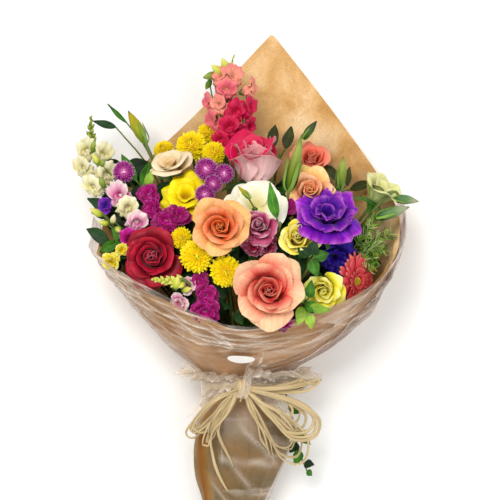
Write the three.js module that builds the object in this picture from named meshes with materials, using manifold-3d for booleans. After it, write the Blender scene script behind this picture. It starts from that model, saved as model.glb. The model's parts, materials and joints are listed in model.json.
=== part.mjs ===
// A mixed flower bouquet in a rolled sheet of kraft paper and clear film, tied with raffia.
// It lies on its back: the paper's back is on z = 0, the blooms look up (+Z), the paper's peak
// points along +Y and the cut stems along -Y. Every bloom or sprig is one cut stem with its head.
import * as THREE from "three";
import { mergeVertices } from "three/addons/utils/BufferGeometryUtils.js";
import Module from "manifold-3d";

const wasm = await Module();
wasm.setup();

// Driving dimensions, in millimetres.
const TIE_Y = -141; // where the raffia pulls the wrapper in
const TIE_AXIS = { x: -8, z: 34 }; // middle of the stem bundle there
const END_AXIS = { x: -18, z: 26 }; // and at the cut ends
const CUT_END_Y = -322; // the stems' cut ends
const STEM_PITCH = 5.2; // between neighbouring stems in the bundle
const BUNDLE_SPREAD = 0.0002; // how much the bundle widens below the tie, per millimetre
const STEM_RADIUS = 2;
const BRANCH_SHARE = 0.6; // a branch's radius against its stem's
const FAN_SOFTNESS = 30; // how gently the stems turn out of the bundle
const BINDING_BELOW_TIE = 14; // the inner band sits just under the raffia
const CLEARANCE = 0.35; // between touching pieces
const PAPER = 1.2; // thickness of the paper shell
const FILM = 0.8; // thickness of the film shells
const FILM_GAP = 0.4; // between the paper's outer face and the wrap
const LINER_GAP = 0.8; // between the paper's inner face and the liner
const BAND_OFFSET = 2.8; // from the paper's outer face to the raffia band's inner face
const BAND = 2; // thickness of the raffia band
const BAND_REACH = { from: 0.585, to: 0.615 }; // where it lies on the wrapper, 0.6 being the tie
const FILM_RIM_EXTRA = 0.03; // how far the film stands past the paper's front rim, as a share
const LINER_TOP_Y = 192; // the lining film stops short of the paper's peak
const STICKER = { turn: 0.518, reach: 0.822, halfTurn: 0.024, halfReach: 0.026, thickness: 0.5 };
const LEAF_THICKNESS = 1.4;

// Colours of the pieces.
const COLOURS = {
  kraft: 0xc9975a,
  film: 0xe8eef0,
  raffia: 0xcdb98a,
  sticker: 0xf4f2ec,
  leaf: 0x3f7a2c,
  darkLeaf: 0x24491f,
  lime: 0x9cbf3b,
  bud: 0xa9b36a,
  coral: 0xf08a72,
  peach: 0xf4a873,
  pink: 0xe2466f,
  crimson: 0xa80f2c,
  magenta: 0xb0268c,
  violet: 0x5a1fa8,
  yellow: 0xf5cf16,
  paleYellow: 0xeee08a,
  cream: 0xf3ead2,
  mauve: 0xc0678c,
  orange: 0xf49a4e,
};

const vector = (p) => new THREE.Vector3(p[0], p[1], p[2]);

// ---- solids -------------------------------------------------------------------------------

// A closed geometry as a manifold-3d solid, turned right side out.
function solidFrom(geometry, matrix = new THREE.Matrix4()) {
  const bare = geometry.clone().applyMatrix4(matrix);
  bare.deleteAttribute("normal");
  bare.deleteAttribute("uv");
  const merged = mergeVertices(bare, 1e-3);
  const corners = merged.index.array;
  const kept = [];
  for (let i = 0; i < corners.length; i += 3) {
    const [a, b, c] = [corners[i], corners[i + 1], corners[i + 2]];
    if (a !== b && b !== c && a !== c) kept.push(a, b, c);
  }
  const positions = merged.attributes.position.array;
  const build = (triangles) =>
    new wasm.Manifold(
      new wasm.Mesh({ numProp: 3, vertProperties: positions, triVerts: new Uint32Array(triangles) }),
    );
  const made = build(kept);
  return made.volume() < 0 ? build(kept.reverse()) : made;
}

function geometryFrom(solid) {
  const mesh = solid.getMesh();
  const count = mesh.vertProperties.length / mesh.numProp;
  const positions = new Float32Array(count * 3);
  for (let i = 0; i < count; i++)
    positions.set(mesh.vertProperties.subarray(i * mesh.numProp, i * mesh.numProp + 3), i * 3);
  const geometry = new THREE.BufferGeometry();
  geometry.setAttribute("position", new THREE.BufferAttribute(positions, 3));
  geometry.setIndex(new THREE.BufferAttribute(new Uint32Array(mesh.triVerts), 1));
  return geometry;
}

// A closed thin solid over a grid of points: rows x columns on the outer face, the same on the
// inner face, and the edges between them. closed joins the last column to the first.
function shellSolid(outer, inner, closed) {
  const rows = outer.length;
  const columns = outer[0].length;
  const positions = [...outer.flat(), ...inner.flat()].flatMap((p) => [p.x, p.y, p.z]);
  const at = (side, r, c) => side * rows * columns + r * columns + (c % columns);
  const triangles = [];
  const quad = (a, b, c, d) => triangles.push(a, b, c, a, c, d);
  const spans = closed ? columns : columns - 1;
  for (let r = 0; r < rows - 1; r++)
    for (let c = 0; c < spans; c++) {
      quad(at(0, r, c), at(0, r, c + 1), at(0, r + 1, c + 1), at(0, r + 1, c));
      quad(at(1, r, c), at(1, r + 1, c), at(1, r + 1, c + 1), at(1, r, c + 1));
    }
  for (let c = 0; c < spans; c++) {
    quad(at(0, 0, c), at(1, 0, c), at(1, 0, c + 1), at(0, 0, c + 1));
    const last = rows - 1;
    quad(at(0, last, c), at(0, last, c + 1), at(1, last, c + 1), at(1, last, c));
  }
  if (!closed)
    for (let r = 0; r < rows - 1; r++) {
      const end = columns - 1;
      quad(at(0, r, 0), at(0, r + 1, 0), at(1, r + 1, 0), at(1, r, 0));
      quad(at(0, r, end), at(1, r, end), at(1, r + 1, end), at(0, r + 1, end));
    }
  const geometry = new THREE.BufferGeometry();
  geometry.setAttribute("position", new THREE.Float32BufferAttribute(positions, 3));
  geometry.setIndex(triangles);
  return solidFrom(geometry);
}

function tube(points, radius, sides = 6, steps = 9) {
  const section = new THREE.Shape();
  for (let i = 0; i < sides; i++) {
    const angle = (i / sides) * 2 * Math.PI;
    const [x, y] = [radius * Math.cos(angle), radius * Math.sin(angle)];
    if (i) section.lineTo(x, y);
    else section.moveTo(x, y);
  }
  section.closePath();
  const extrudePath = new THREE.CatmullRomCurve3(points, false, "centripetal");
  const options = { steps, extrudePath, bevelEnabled: false };
  return solidFrom(new THREE.ExtrudeGeometry(section, options));
}

// The matrix that carries +Z to a direction and the origin to a point.
function facing(point, direction) {
  const turn = new THREE.Quaternion().setFromUnitVectors(
    new THREE.Vector3(0, 0, 1),
    direction.clone().normalize(),
  );
  return new THREE.Matrix4().compose(point, turn, new THREE.Vector3(1, 1, 1));
}

// A body of revolution about the facing direction, its profile as [radius, height] pairs.
function turned(profile, scale, point, direction, sides = 10) {
  const outline = profile.map(([r, h]) => new THREE.Vector2(r * scale, h * scale));
  const geometry = new THREE.LatheGeometry(outline, sides);
  geometry.rotateX(Math.PI / 2);
  return solidFrom(geometry, facing(point, direction));
}

const PROFILES = {
  // An opened rose or lisianthus: calyx, swelling cup, rim, shallow heart.
  cup: [[0, -0.8], [0.25, -0.72], [0.8, -0.3], [0.92, 0.1], [0.6, 0.4], [0, 0.42]],
  // A chrysanthemum, gomphrena or floret: a slightly flattened ball.
  ball: [[0, -0.65], [0.85, -0.3], [0.85, 0.3], [0, 0.62]],
  // A gerbera: a shallow dish with a low disc.
  dish: [[0, -0.3], [0.25, -0.25], [0.92, 0.02], [0.95, 0.12], [0.3, 0.08], [0, 0.16]],
  // A bud: a slender spindle.
  spindle: [[0, -1], [0.2, -0.6], [0.28, -0.1], [0.2, 0.5], [0, 1]],
};
const SIDES = { cup: 11, ball: 7, dish: 14, spindle: 5 };

// A pointed leaf as a thin plate, from its base along a direction.
function leaf(base, tip, width, grow = 0) {
  const up = new THREE.Vector3(0, 0, 1);
  const depth = LEAF_THICKNESS + 2 * grow;
  const along = tip.clone().sub(base);
  const length = along.length();
  const outline = new THREE.Shape();
  outline.moveTo(0, -width * 0.08);
  outline.lineTo(length * 0.3, -width * 0.45);
  outline.lineTo(length * 0.62, -width * 0.42);
  outline.lineTo(length, 0);
  outline.lineTo(length * 0.62, width * 0.42);
  outline.lineTo(length * 0.3, width * 0.45);
  outline.lineTo(0, width * 0.08);
  outline.closePath();
  const plate = new THREE.ExtrudeGeometry(outline, { depth, bevelEnabled: false });
  plate.translate(0, 0, -depth / 2);
  const xAxis = along.normalize();
  const yAxis = up.clone().cross(xAxis).normalize();
  const zAxis = xAxis.clone().cross(yAxis);
  const turn = new THREE.Matrix4().makeBasis(xAxis, yAxis, zAxis).setPosition(base);
  return solidFrom(plate, turn);
}

// ---- the wrapper --------------------------------------------------------------------------

const RING_POINTS = 12; // points on each ring, from the middle of the back, towards +X first
const CORNER = 9; // the paper's left corner: the rim is sharp there and at the peak

// The rim, from the peak round by the right side, the front and the left corner.
const RIM = [
  [24, 234, 0], [86, 154, 3], [140, 74, 40], [156, 31, 76], [142, -18, 104], [96, -54, 130],
  [8, -81, 142], [-46, -71, 140], [-112, -38, 124], [-160, -5, 94], [-140, 61, 42], [-49, 156, 3],
];
// The belly, where the cone is fullest between the tie and the rim.
const BELLY = [
  [9, 0, 0], [54, -5, 0], [102, -27, 22], [118, -53, 50], [99, -83, 80], [52, -105, 98],
  [0, -111, 104], [-43, -105, 102], [-85, -88, 90], [-115, -65, 62], [-91, -27, 18], [-38, -2, 0],
];
// The sleeve round the stems: plain rings, flat underneath.
const SLEEVE = [
  { y: -300, x: -19, halfWidth: 30, lift: 0, middle: 24, halfHeight: 27 },
  { y: -262, x: -17, halfWidth: 34, lift: 0, middle: 26, halfHeight: 30 },
  { y: -205, x: -10, halfWidth: 52, lift: 0, middle: 28, halfHeight: 33 },
  { y: TIE_Y, x: TIE_AXIS.x, halfWidth: 36, lift: 6, middle: 28, halfHeight: 31 },
];

function sleeveRing({ y, x, halfWidth, lift, middle, halfHeight }) {
  return Array.from({ length: RING_POINTS }, (_, i) => {
    const angle = (i / RING_POINTS) * 2 * Math.PI;
    const height = lift + Math.max(0, middle - halfHeight * Math.cos(angle));
    return new THREE.Vector3(x + halfWidth * Math.sin(angle), y, height);
  });
}

const RINGS = [...SLEEVE.map(sleeveRing), BELLY.map(vector), RIM.map(vector)];
const RING_CURVES = RINGS.map((ring) => [
  new THREE.CatmullRomCurve3(ring.slice(0, CORNER + 1), false, "catmullrom", 0.5),
  new THREE.CatmullRomCurve3([...ring.slice(CORNER), ring[0]], false, "catmullrom", 0.5),
]);

function onRing([front, back], turn) {
  const share = ((turn % 1) + 1) % 1;
  const split = CORNER / RING_POINTS;
  return share <= split
    ? front.getPoint(share / split)
    : back.getPoint((share - split) / (1 - split));
}

// The paper's outer face: turn runs round it (0 at the back, 0.5 at the front), reach runs from
// the sleeve's end (0) to the rim (1), and past the rim in a straight line.
function wrapperPoint(turn, reach) {
  const column = RING_CURVES.map((curve) => onRing(curve, turn));
  const spine = new THREE.CatmullRomCurve3(column, false, "catmullrom", 0.5);
  const point = spine.getPoint(Math.min(Math.max(reach, 0), 1));
  if (reach > 1) point.addScaledVector(spine.getTangent(1), (reach - 1) * spine.getLength());
  point.z = Math.max(0, point.z);
  return point;
}

function wrapperNormal(turn, reach) {
  const step = 0.004;
  const around = wrapperPoint(turn + step, reach).sub(wrapperPoint(turn - step, reach));
  const along = wrapperPoint(turn, Math.min(reach + step, 1)).sub(
    wrapperPoint(turn, Math.min(reach, 1) - step),
  );
  return along.cross(around).normalize();
}

function wrapperOffset(turn, reach, distance) {
  return wrapperPoint(turn, reach).addScaledVector(wrapperNormal(turn, reach), distance);
}

const range = (count, low, high) =>
  Array.from({ length: count }, (_, i) => low + ((high - low) * i) / (count - 1));

const PAPER_COLUMNS = 24;
const WRAP_COLUMNS = [5, 19]; // the wrap goes round the front
const LINER_COLUMNS = [-5, 5]; // and the liner covers the back
const PAPER_REACHES = [0, 0.1, 0.2, 0.3, 0.4, 0.5, 0.56, 0.6, 0.65, 0.72, 0.8, 0.9, 1];

// A shell between two distances from the paper's outer face, over a grid of turns and reaches.
function wrapperShell(turns, reachesOf, outside, inside, closed) {
  const rows = reachesOf(turns[0]).length;
  const face = (distance) =>
    Array.from({ length: rows }, (_, r) =>
      turns.map((turn) => wrapperOffset(turn, reachesOf(turn)[r], distance)),
    );
  return shellSolid(face(outside), face(inside), closed);
}

// The turns that share the paper's own columns, so that the shells run side by side.
const columnsBetween = (first, last) =>
  Array.from({ length: last - first + 1 }, (_, i) => (first + i) / PAPER_COLUMNS);

function kraftPaper(inner = -PAPER) {
  const turns = columnsBetween(0, PAPER_COLUMNS - 1);
  return wrapperShell(turns, () => PAPER_REACHES, 0, inner, true);
}

function filmWrap(grow = 0) {
  const reaches = [...PAPER_REACHES.slice(1), 1 + FILM_RIM_EXTRA];
  const turns = columnsBetween(...WRAP_COLUMNS);
  return wrapperShell(turns, () => reaches, FILM_GAP + FILM + grow, FILM_GAP - grow, false);
}

// The highest reach whose point stays below the liner's top edge.
function linerTop(turn) {
  let [low, high] = [0.7, 0.985];
  if (wrapperPoint(turn, high).y < LINER_TOP_Y) return high;
  for (let i = 0; i < 20; i++) {
    const middle = (low + high) / 2;
    if (wrapperPoint(turn, middle).y < LINER_TOP_Y) low = middle;
    else high = middle;
  }
  return low;
}

function filmLiner(thickness = FILM) {
  const inner = -PAPER - LINER_GAP;
  const reaches = (turn) => [...PAPER_REACHES.filter((r) => r > 0.65 && r < 0.9), linerTop(turn)];
  return wrapperShell(columnsBetween(...LINER_COLUMNS), reaches, inner, inner - thickness, false);
}

function raffiaBand() {
  const turns = columnsBetween(0, PAPER_COLUMNS - 1);
  const outer = BAND_OFFSET + BAND;
  const reaches = range(3, BAND_REACH.from, BAND_REACH.to);
  return wrapperShell(turns, () => reaches, outer, BAND_OFFSET, true);
}

// A small plain oval sticker on the film over the front of the paper, as rings of points that
// shrink towards its middle.
function plainSticker() {
  const { turn, reach, halfTurn, halfReach, thickness } = STICKER;
  const angles = range(17, 0, 2 * Math.PI).slice(0, 16);
  const face = (distance) =>
    range(3, 1, 0.02).map((share) =>
      angles.map((angle) =>
        wrapperOffset(
          turn - halfTurn * share * Math.cos(angle),
          reach - halfReach * share * Math.sin(angle),
          distance,
        ),
      ),
    );
  return shellSolid(face(BAND_OFFSET + thickness), face(BAND_OFFSET), true);
}

// ---- stems and heads ----------------------------------------------------------------------

// Each stem by name: its colour, its main head, then the other heads and the leaves it carries.
// A head is [kind, centre, facing, radius]; a leaf is [base, tip, width].
const OUT = [0, 0, 1];
const STEMS = [
  // Large roses and lisianthus.
  { name: "rose_coral_large", colour: "coral", heads: [["cup", [18, -40, 150], [0, 0.1, 1], 36]] },
  { name: "rose_peach", colour: "peach", heads: [["cup", [-31, 21, 146], [-0.05, 0.15, 1], 32]] },
  { name: "rose_mauve", colour: "mauve", heads: [["cup", [10, 14, 134], [0, 0.2, 1], 19]] },
  { name: "rose_crimson", colour: "crimson", heads: [["cup", [-102, -12, 122], [-0.15, 0.1, 1], 30]] },
  { name: "rose_pink", colour: "pink", heads: [["cup", [5, 95, 94], [0, 0.75, 0.65], 32]] },
  { name: "rose_orange", colour: "orange", heads: [["cup", [63, 70, 90], [0.1, 0.6, 0.8], 25]] },
  { name: "rose_coral_back", colour: "coral", heads: [["cup", [66, 93, 48], [0.3, 0.8, 0.5], 19]] },
  { name: "rose_bud_yellow", colour: "paleYellow", heads: [["cup", [50, 8, 124], [0, -0.4, 0.9], 16]] },
  { name: "rose_lime", colour: "lime", heads: [["cup", [75, -40, 124], [-0.2, -0.2, 1], 22]] },
  { name: "lisianthus_white", colour: "cream", heads: [["cup", [5, 47, 118], [0, 0.45, 0.9], 27]] },
  {
    name: "lisianthus_purple",
    colour: "violet",
    heads: [["cup", [79, 36, 125], [0.1, 0.45, 0.9], 33]],
  },
  { name: "lisianthus_violet", colour: "violet", heads: [["cup", [88, -7, 106], [0.2, -0.3, 1], 20]] },
  { name: "lisianthus_cream", colour: "cream", heads: [["cup", [-82, 86, 84], [-0.2, 0.6, 0.8], 23]] },
  { name: "rose_yellow_open", colour: "yellow", heads: [["cup", [-66, 56, 88], [0, 0.1, 1], 24]] },
  { name: "gerbera_coral", colour: "coral", heads: [["dish", [109, -32, 106], [0.75, -0.1, 0.6], 29]] },
  // Chrysanthemums and gomphrena.
  {
    name: "mum_yellow_upper",
    colour: "yellow",
    heads: [["ball", [-54, -5, 142], OUT, 19], ["ball", [-71, 12, 124], OUT, 12]],
  },
  { name: "mum_yellow_lower", colour: "yellow", heads: [["ball", [-25, -22, 146], OUT, 16]] },
  {
    name: "mum_yellow_back",
    colour: "yellow",
    heads: [
      ["ball", [-61, 111, 66], [0, 0.5, 0.8], 16],
      ["ball", [-38, 103, 78], [0, 0.5, 0.8], 12],
      ["ball", [-44, 125, 50], [0, 0.6, 0.8], 12],
      ["ball", [-92, 107, 44], [-0.3, 0.6, 0.7], 12],
    ],
  },
  {
    name: "gomphrena_back",
    colour: "magenta",
    heads: [
      ["ball", [-46, 84, 106], OUT, 11],
      ["ball", [-28, 78, 106], OUT, 9],
      ["ball", [-40, 68, 114], OUT, 8],
      ["ball", [-47, 57, 114], OUT, 9],
    ],
  },
  { name: "gomphrena_left", colour: "magenta", heads: [["ball", [-131, 81, 90], OUT, 12]] },
  { name: "carnation_magenta", colour: "magenta", heads: [["ball", [40, 44, 112], OUT, 9]] },
  // Spikes of florets: stock and snapdragon.
  {
    name: "stock_magenta_left",
    colour: "magenta",
    heads: [
      ["ball", [-105, 58, 98], OUT, 9],
      ["ball", [-101, 42, 104], OUT, 9],
      ["ball", [-88, 31, 112], OUT, 9],
      ["ball", [-75, 36, 112], OUT, 8],
      ["ball", [-84, 17, 114], OUT, 9],
    ],
  },
  {
    name: "stock_violet_low",
    colour: "magenta",
    heads: [
      ["ball", [-51, -32, 132], OUT, 8],
      ["ball", [-44, -46, 136], OUT, 9],
      ["ball", [-46, -62, 136], OUT, 10],
      ["ball", [-72, -54, 130], OUT, 9],
    ],
  },
  { name: "stock_violet_rim", colour: "magenta", heads: [["ball", [34, -76, 130], OUT, 6]] },
  {
    name: "snapdragon_coral",
    colour: "pink",
    heads: [
      ["spindle", [-31, 200, 42], [0, 1, 0.1], 12],
      ["ball", [-27, 184, 46], OUT, 12],
      ["ball", [-10, 186, 46], OUT, 12],
      ["ball", [1, 172, 48], OUT, 10],
      ["ball", [-22, 168, 54], OUT, 13],
      ["ball", [-38, 154, 52], OUT, 12],
      ["ball", [-2, 152, 56], OUT, 13],
      ["ball", [-22, 144, 64], OUT, 14],
      ["ball", [-30, 126, 66], OUT, 12],
      ["ball", [-8, 130, 66], OUT, 13],
    ],
  },
  {
    name: "snapdragon_pink",
    colour: "mauve",
    heads: [
      ["ball", [-134, 57, 96], OUT, 9],
      ["ball", [-127, 45, 102], OUT, 9],
      ["ball", [-116, 28, 108], OUT, 8],
      ["ball", [-121, 14, 104], OUT, 8],
    ],
  },
  {
    name: "snapdragon_white",
    colour: "cream",
    heads: [
      ["spindle", [-167, 126, 62], [0, 1, -0.2], 14],
      ["ball", [-171, 104, 70], OUT, 12],
      ["ball", [-153, 100, 74], OUT, 13],
      ["ball", [-174, 86, 76], OUT, 12],
      ["ball", [-150, 80, 80], OUT, 13],
      ["ball", [-163, 66, 84], OUT, 12],
    ],
  },
  {
    name: "snapdragon_green_tip",
    colour: "bud",
    heads: [
      ["spindle", [-84, -31, 144], [-0.9, 0.1, 0.3], 14],
      ["ball", [-76, -33, 144], OUT, 7],
      ["ball", [-64, -40, 138], OUT, 5],
    ],
  },
  // Buds and small blossoms.
  {
    name: "blossom_spray_left",
    colour: "paleYellow",
    heads: [["ball", [-143, -12, 102], OUT, 10], ["ball", [-131, 0, 106], OUT, 6]],
  },
  {
    name: "bud_spray_left",
    colour: "bud",
    heads: [
      ["ball", [-159, 39, 92], OUT, 6],
      ["ball", [-151, 28, 96], OUT, 5],
      ["ball", [-141, 32, 98], OUT, 5],
      ["ball", [-136, 21, 98], OUT, 5],
    ],
  },
  { name: "lisianthus_violet_left", colour: "violet", heads: [["ball", [-150, 46, 84], OUT, 8]] },
  {
    name: "lisianthus_bud_olive",
    colour: "bud",
    heads: [["spindle", [-119, 129, 58], [-0.45, 0.85, -0.1], 20]],
    leaves: [[[-141, 129, 58], [-164, 135, 56], 8], [[-130, 134, 57], [-148, 152, 54], 5]],
  },
  {
    name: "lisianthus_bud_tall",
    colour: "leaf",
    heads: [["spindle", [46, 88, 117], [0.22, 0.95, 0.1], 28]],
  },
  {
    name: "lisianthus_bud_dark",
    colour: "darkLeaf",
    heads: [["spindle", [63, 126, 62], [0.6, 0.8, 0], 11]],
  },
  {
    name: "lisianthus_bud_pale",
    colour: "bud",
    heads: [["spindle", [95, 80, 92], [0.1, 1, -0.1], 17]],
  },
  {
    name: "lisianthus_buds_right",
    colour: "bud",
    heads: [
      ["spindle", [160, 51, 92], [1, -0.1, 0], 15],
      ["spindle", [144, 37, 103], [0.95, 0.3, 0], 16],
    ],
  },
  {
    name: "lisianthus_pale_right",
    colour: "paleYellow",
    heads: [["cup", [137, 61, 78], [0.3, 0.7, 0.6], 23]],
  },
  {
    name: "bud_stem_centre",
    colour: "leaf",
    fork: [31, 28, 134],
    heads: [["spindle", [-6, 58, 149], [-0.7, 0.7, 0.1], 8]],
    leaves: [[[27, 33, 142], [21, 66, 151], 11]],
  },
  // Leafy sprigs.
  {
    name: "leaf_sprig_left_bright",
    colour: "leaf",
    leaves: [
      [[-112, 66, 86], [-104, 92, 78], 11],
      [[-118, 72, 86], [-132, 98, 78], 10],
      [[-106, 66, 94], [-102, 80, 94], 8],
    ],
  },
  {
    name: "leaf_sprig_left_dark",
    colour: "darkLeaf",
    leaves: [
      [[-140, 42, 76], [-170, 54, 70], 13],
      [[-146, 8, 90], [-170, 22, 86], 14],
      [[-138, 8, 92], [-156, -2, 92], 11],
    ],
  },
  {
    name: "leaf_sprig_back",
    colour: "darkLeaf",
    leaves: [[[24, 108, 34], [27, 134, 26], 11], [[38, 108, 34], [44, 132, 26], 11]],
  },
  {
    name: "leaf_sprig_back_right",
    colour: "darkLeaf",
    leaves: [
      [[88, 74, 50], [78, 100, 38], 11],
      [[98, 72, 50], [90, 96, 42], 11],
      [[102, 68, 50], [106, 94, 34], 10],
      [[106, 64, 50], [132, 72, 36], 11],
    ],
  },
  {
    name: "leaf_trefoil",
    colour: "darkLeaf",
    leaves: [
      [[60, -6, 140], [48, 2, 142], 13],
      [[62, -5, 140], [66, 10, 142], 13],
      [[64, -8, 140], [78, -4, 140], 13],
      [[62, -10, 140], [68, -26, 144], 12],
    ],
  },
  {
    name: "leaf_sprig_bright_low",
    colour: "leaf",
    leaves: [
      [[54, -52, 140], [46, -36, 150], 12],
      [[56, -54, 140], [70, -62, 144], 12],
      [[54, -58, 140], [50, -74, 142], 12],
    ],
  },
  {
    name: "fern_right",
    colour: "leaf",
    leaves: [
      [[108, 4, 96], [134, 26, 90], 9],
      [[116, 2, 94], [148, 16, 84], 9],
      [[112, -2, 96], [138, -2, 90], 9],
    ],
  },
  {
    name: "leaf_sprig_centre",
    colour: "darkLeaf",
    leaves: [
      [[-2, -10, 112], [-12, -12, 124], 12],
      [[32, 26, 108], [44, 28, 118], 12],
      [[28, -6, 112], [36, -6, 122], 12],
    ],
  },
  {
    name: "leaf_sprig_low",
    colour: "darkLeaf",
    leaves: [[[-24, -54, 116], [-26, -58, 132], 14], [[-12, -62, 116], [-8, -74, 132], 12]],
  },
];

// The stems' places in the bundle: a hexagonal packing, nearest the middle first.
function bundleSlots(count) {
  const slots = [];
  const reach = 6;
  for (let row = -reach; row <= reach; row++)
    for (let column = -reach; column <= reach; column++) {
      const x = (column + (row % 2 ? 0.5 : 0)) * STEM_PITCH;
      const z = row * STEM_PITCH * Math.sqrt(0.75);
      slots.push(new THREE.Vector2(x, z));
    }
  slots.sort((a, b) => a.length() - b.length());
  return slots.slice(0, count);
}

const fan = (y) => Math.hypot(y - TIE_Y, FAN_SOFTNESS) - FAN_SOFTNESS;

// Where a stem first meets its head or forks.
function stemTarget({ fork, heads = [], leaves = [] }) {
  if (fork) return vector(fork);
  if (!heads.length) {
    const middle = new THREE.Vector3();
    leaves.forEach(([base]) => middle.add(vector(base)));
    return middle.divideScalar(leaves.length).add(new THREE.Vector3(0, -6, -6));
  }
  const [kind, centre, face, radius] = heads[0];
  const depth = kind === "spindle" ? radius : 0.8 * radius;
  return vector(centre).addScaledVector(vector(face).normalize(), -depth - 8);
}

// Each stem takes the slot on the side it leans to, so that no two stems cross: two stems swap
// while that brings their slots into the order of their directions.
function assignSlots(stems) {
  const slots = bundleSlots(stems.length);
  const leans = stems.map((stem) => {
    const target = stemTarget(stem);
    const rise = fan(target.y);
    return new THREE.Vector2((target.x - TIE_AXIS.x) / rise, (target.z - TIE_AXIS.z) / rise);
  });
  for (let swapped = true; swapped; ) {
    swapped = false;
    for (let i = 0; i < stems.length; i++)
      for (let j = i + 1; j < stems.length; j++) {
        const lean = leans[i].clone().sub(leans[j]);
        const gap = slots[i].clone().sub(slots[j]);
        if (lean.dot(gap) >= -1e-9) continue;
        [slots[i], slots[j]] = [slots[j], slots[i]];
        swapped = true;
      }
  }
  return slots;
}

function stemPath(stem, slot) {
  const target = stemTarget(stem);
  const atTie = new THREE.Vector3(TIE_AXIS.x + slot.x, TIE_Y, TIE_AXIS.z + slot.y);
  const below = (y) => {
    const spread = 1 + BUNDLE_SPREAD * (TIE_Y - y);
    const share = (TIE_Y - y) / (TIE_Y - CUT_END_Y);
    const x = TIE_AXIS.x + (END_AXIS.x - TIE_AXIS.x) * share;
    const z = TIE_AXIS.z + (END_AXIS.z - TIE_AXIS.z) * share;
    return new THREE.Vector3(x + slot.x * spread, y, z + slot.y * spread);
  };
  const above = (share) => {
    const y = TIE_Y + (target.y - TIE_Y) * share;
    const along = fan(y) / fan(target.y);
    return new THREE.Vector3().lerpVectors(atTie, target, along).setY(y);
  };
  const halfway = (CUT_END_Y + TIE_Y) / 2;
  const path = [below(CUT_END_Y), below(halfway), atTie, above(0.25), above(0.6), target];
  if (stem.heads && !stem.fork) path.push(vector(stem.heads[0][1]).lerp(target, 0.25));
  return path;
}

// The solid of one stem with all it carries; grow thickens every part of it.
function stemSolid(stem, slot, grow = 0) {
  const radius = STEM_RADIUS + grow;
  const path = stemPath(stem, slot);
  const curve = new THREE.CatmullRomCurve3(path, false, "centripetal");
  const samples = curve.getPoints(40);
  // A branch leaves the stem a little below the point nearest to what it carries.
  const branchTo = (point) => {
    if (stem.fork) return tube([vector(stem.fork), point], BRANCH_SHARE * radius, 4, 1);
    const gaps = samples.map((sample) => sample.distanceTo(point));
    const nearest = gaps.indexOf(Math.min(...gaps));
    const spacing = samples[38].distanceTo(samples[39]);
    const back = Math.ceil((1.3 * gaps[nearest]) / spacing);
    const start = samples[Math.max(22, nearest - back)];
    return tube([start, point], BRANCH_SHARE * radius, 4, 1);
  };
  let solid = tube(path, radius, 5, 9);
  for (const [kind, centre, face, size] of stem.heads ?? []) {
    const place = vector(centre);
    solid = solid.add(turned(PROFILES[kind], size + grow, place, vector(face), SIDES[kind]));
    if (stem.fork || centre !== stem.heads[0][1]) solid = solid.add(branchTo(place));
  }
  for (const [base, tip, width] of stem.leaves ?? []) {
    const [start, end] = [vector(base), vector(tip)];
    solid = solid.add(leaf(start, end, width + 2 * grow, grow)).add(branchTo(start));
  }
  return solid;
}

function largestBody(solid) {
  const bodies = solid.decompose();
  return bodies.reduce((best, body) => (body.volume() > best.volume() ? body : best));
}

// ---- raffia bow ---------------------------------------------------------------------------

// The bow's bundles of strands: loops that leave the knot and come back, and hanging tails.
const KNOT = { centre: [-8, -143, 77], radius: 10 };
const BOW = [
  {
    name: "raffia_loops_left",
    radius: 3.5,
    path: [
      [-19, -146, 75], [-38, -163, 70], [-58, -184, 62], [-50, -194, 64], [-32, -176, 72],
      [-16, -156, 75],
    ],
  },
  {
    name: "raffia_loop_right_high",
    radius: 2.5,
    path: [
      [3, -141, 76], [40, -134, 73], [75, -137, 65], [60, -148, 63], [30, -151, 69], [4, -147, 70],
    ],
  },
  {
    name: "raffia_loops_right",
    radius: 3.5,
    path: [
      [3, -150, 78], [32, -160, 75], [62, -172, 67], [70, -188, 61], [54, -202, 60], [34, -188, 66],
      [14, -166, 74], [0, -154, 75],
    ],
  },
  {
    name: "raffia_tails_right",
    radius: 3,
    path: [[-7, -155, 78], [4, -182, 73], [22, -216, 66]],
  },
  {
    name: "raffia_tail_left",
    radius: 2,
    path: [[-13, -157, 81], [-25, -186, 79], [-36, -204, 73], [-32, -228, 67], [-21, -254, 63]],
  },
];

// A leafy sprig caught under the raffia on the sleeve's right side.
const TIE_SPRIG = {
  stem: [[38, -152, 46], [45, -180, 42], [51, -210, 38], [62, -238, 33]],
  leaves: [
    [[47, -190, 41], [60, -202, 45], 11],
    [[51, -208, 38], [46, -226, 46], 11],
    [[56, -222, 36], [72, -230, 36], 10],
  ],
};

function tieSprig() {
  const stem = tube(TIE_SPRIG.stem.map(vector), BRANCH_SHARE * STEM_RADIUS, 5, 8);
  return TIE_SPRIG.leaves.reduce(
    (solid, [base, tip, width]) => solid.add(leaf(vector(base), vector(tip), width)),
    stem,
  );
}

// The band that holds the stems together inside the wrapper.
function stemBinding() {
  const radius = bundleSlots(STEMS.length).at(-1).length() + STEM_RADIUS + 3 * CLEARANCE;
  const outline = [[0, -4], [1.6, -4], [1.6, 4], [0, 4], [0, -4]].map(
    ([out, along]) => new THREE.Vector2(radius + out, along),
  );
  const ring = new THREE.LatheGeometry(outline, 24);
  ring.translate(TIE_AXIS.x, TIE_Y - BINDING_BELOW_TIE, TIE_AXIS.z);
  return solidFrom(ring);
}

// ---- the bouquet --------------------------------------------------------------------------

const bouquet = new THREE.Group();

function addPiece(name, solid, colour, roughness = 0.7) {
  const material = new THREE.MeshStandardMaterial({ color: COLOURS[colour], roughness });
  const mesh = new THREE.Mesh(geometryFrom(solid), material);
  mesh.name = name;
  bouquet.add(mesh);
}

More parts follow.
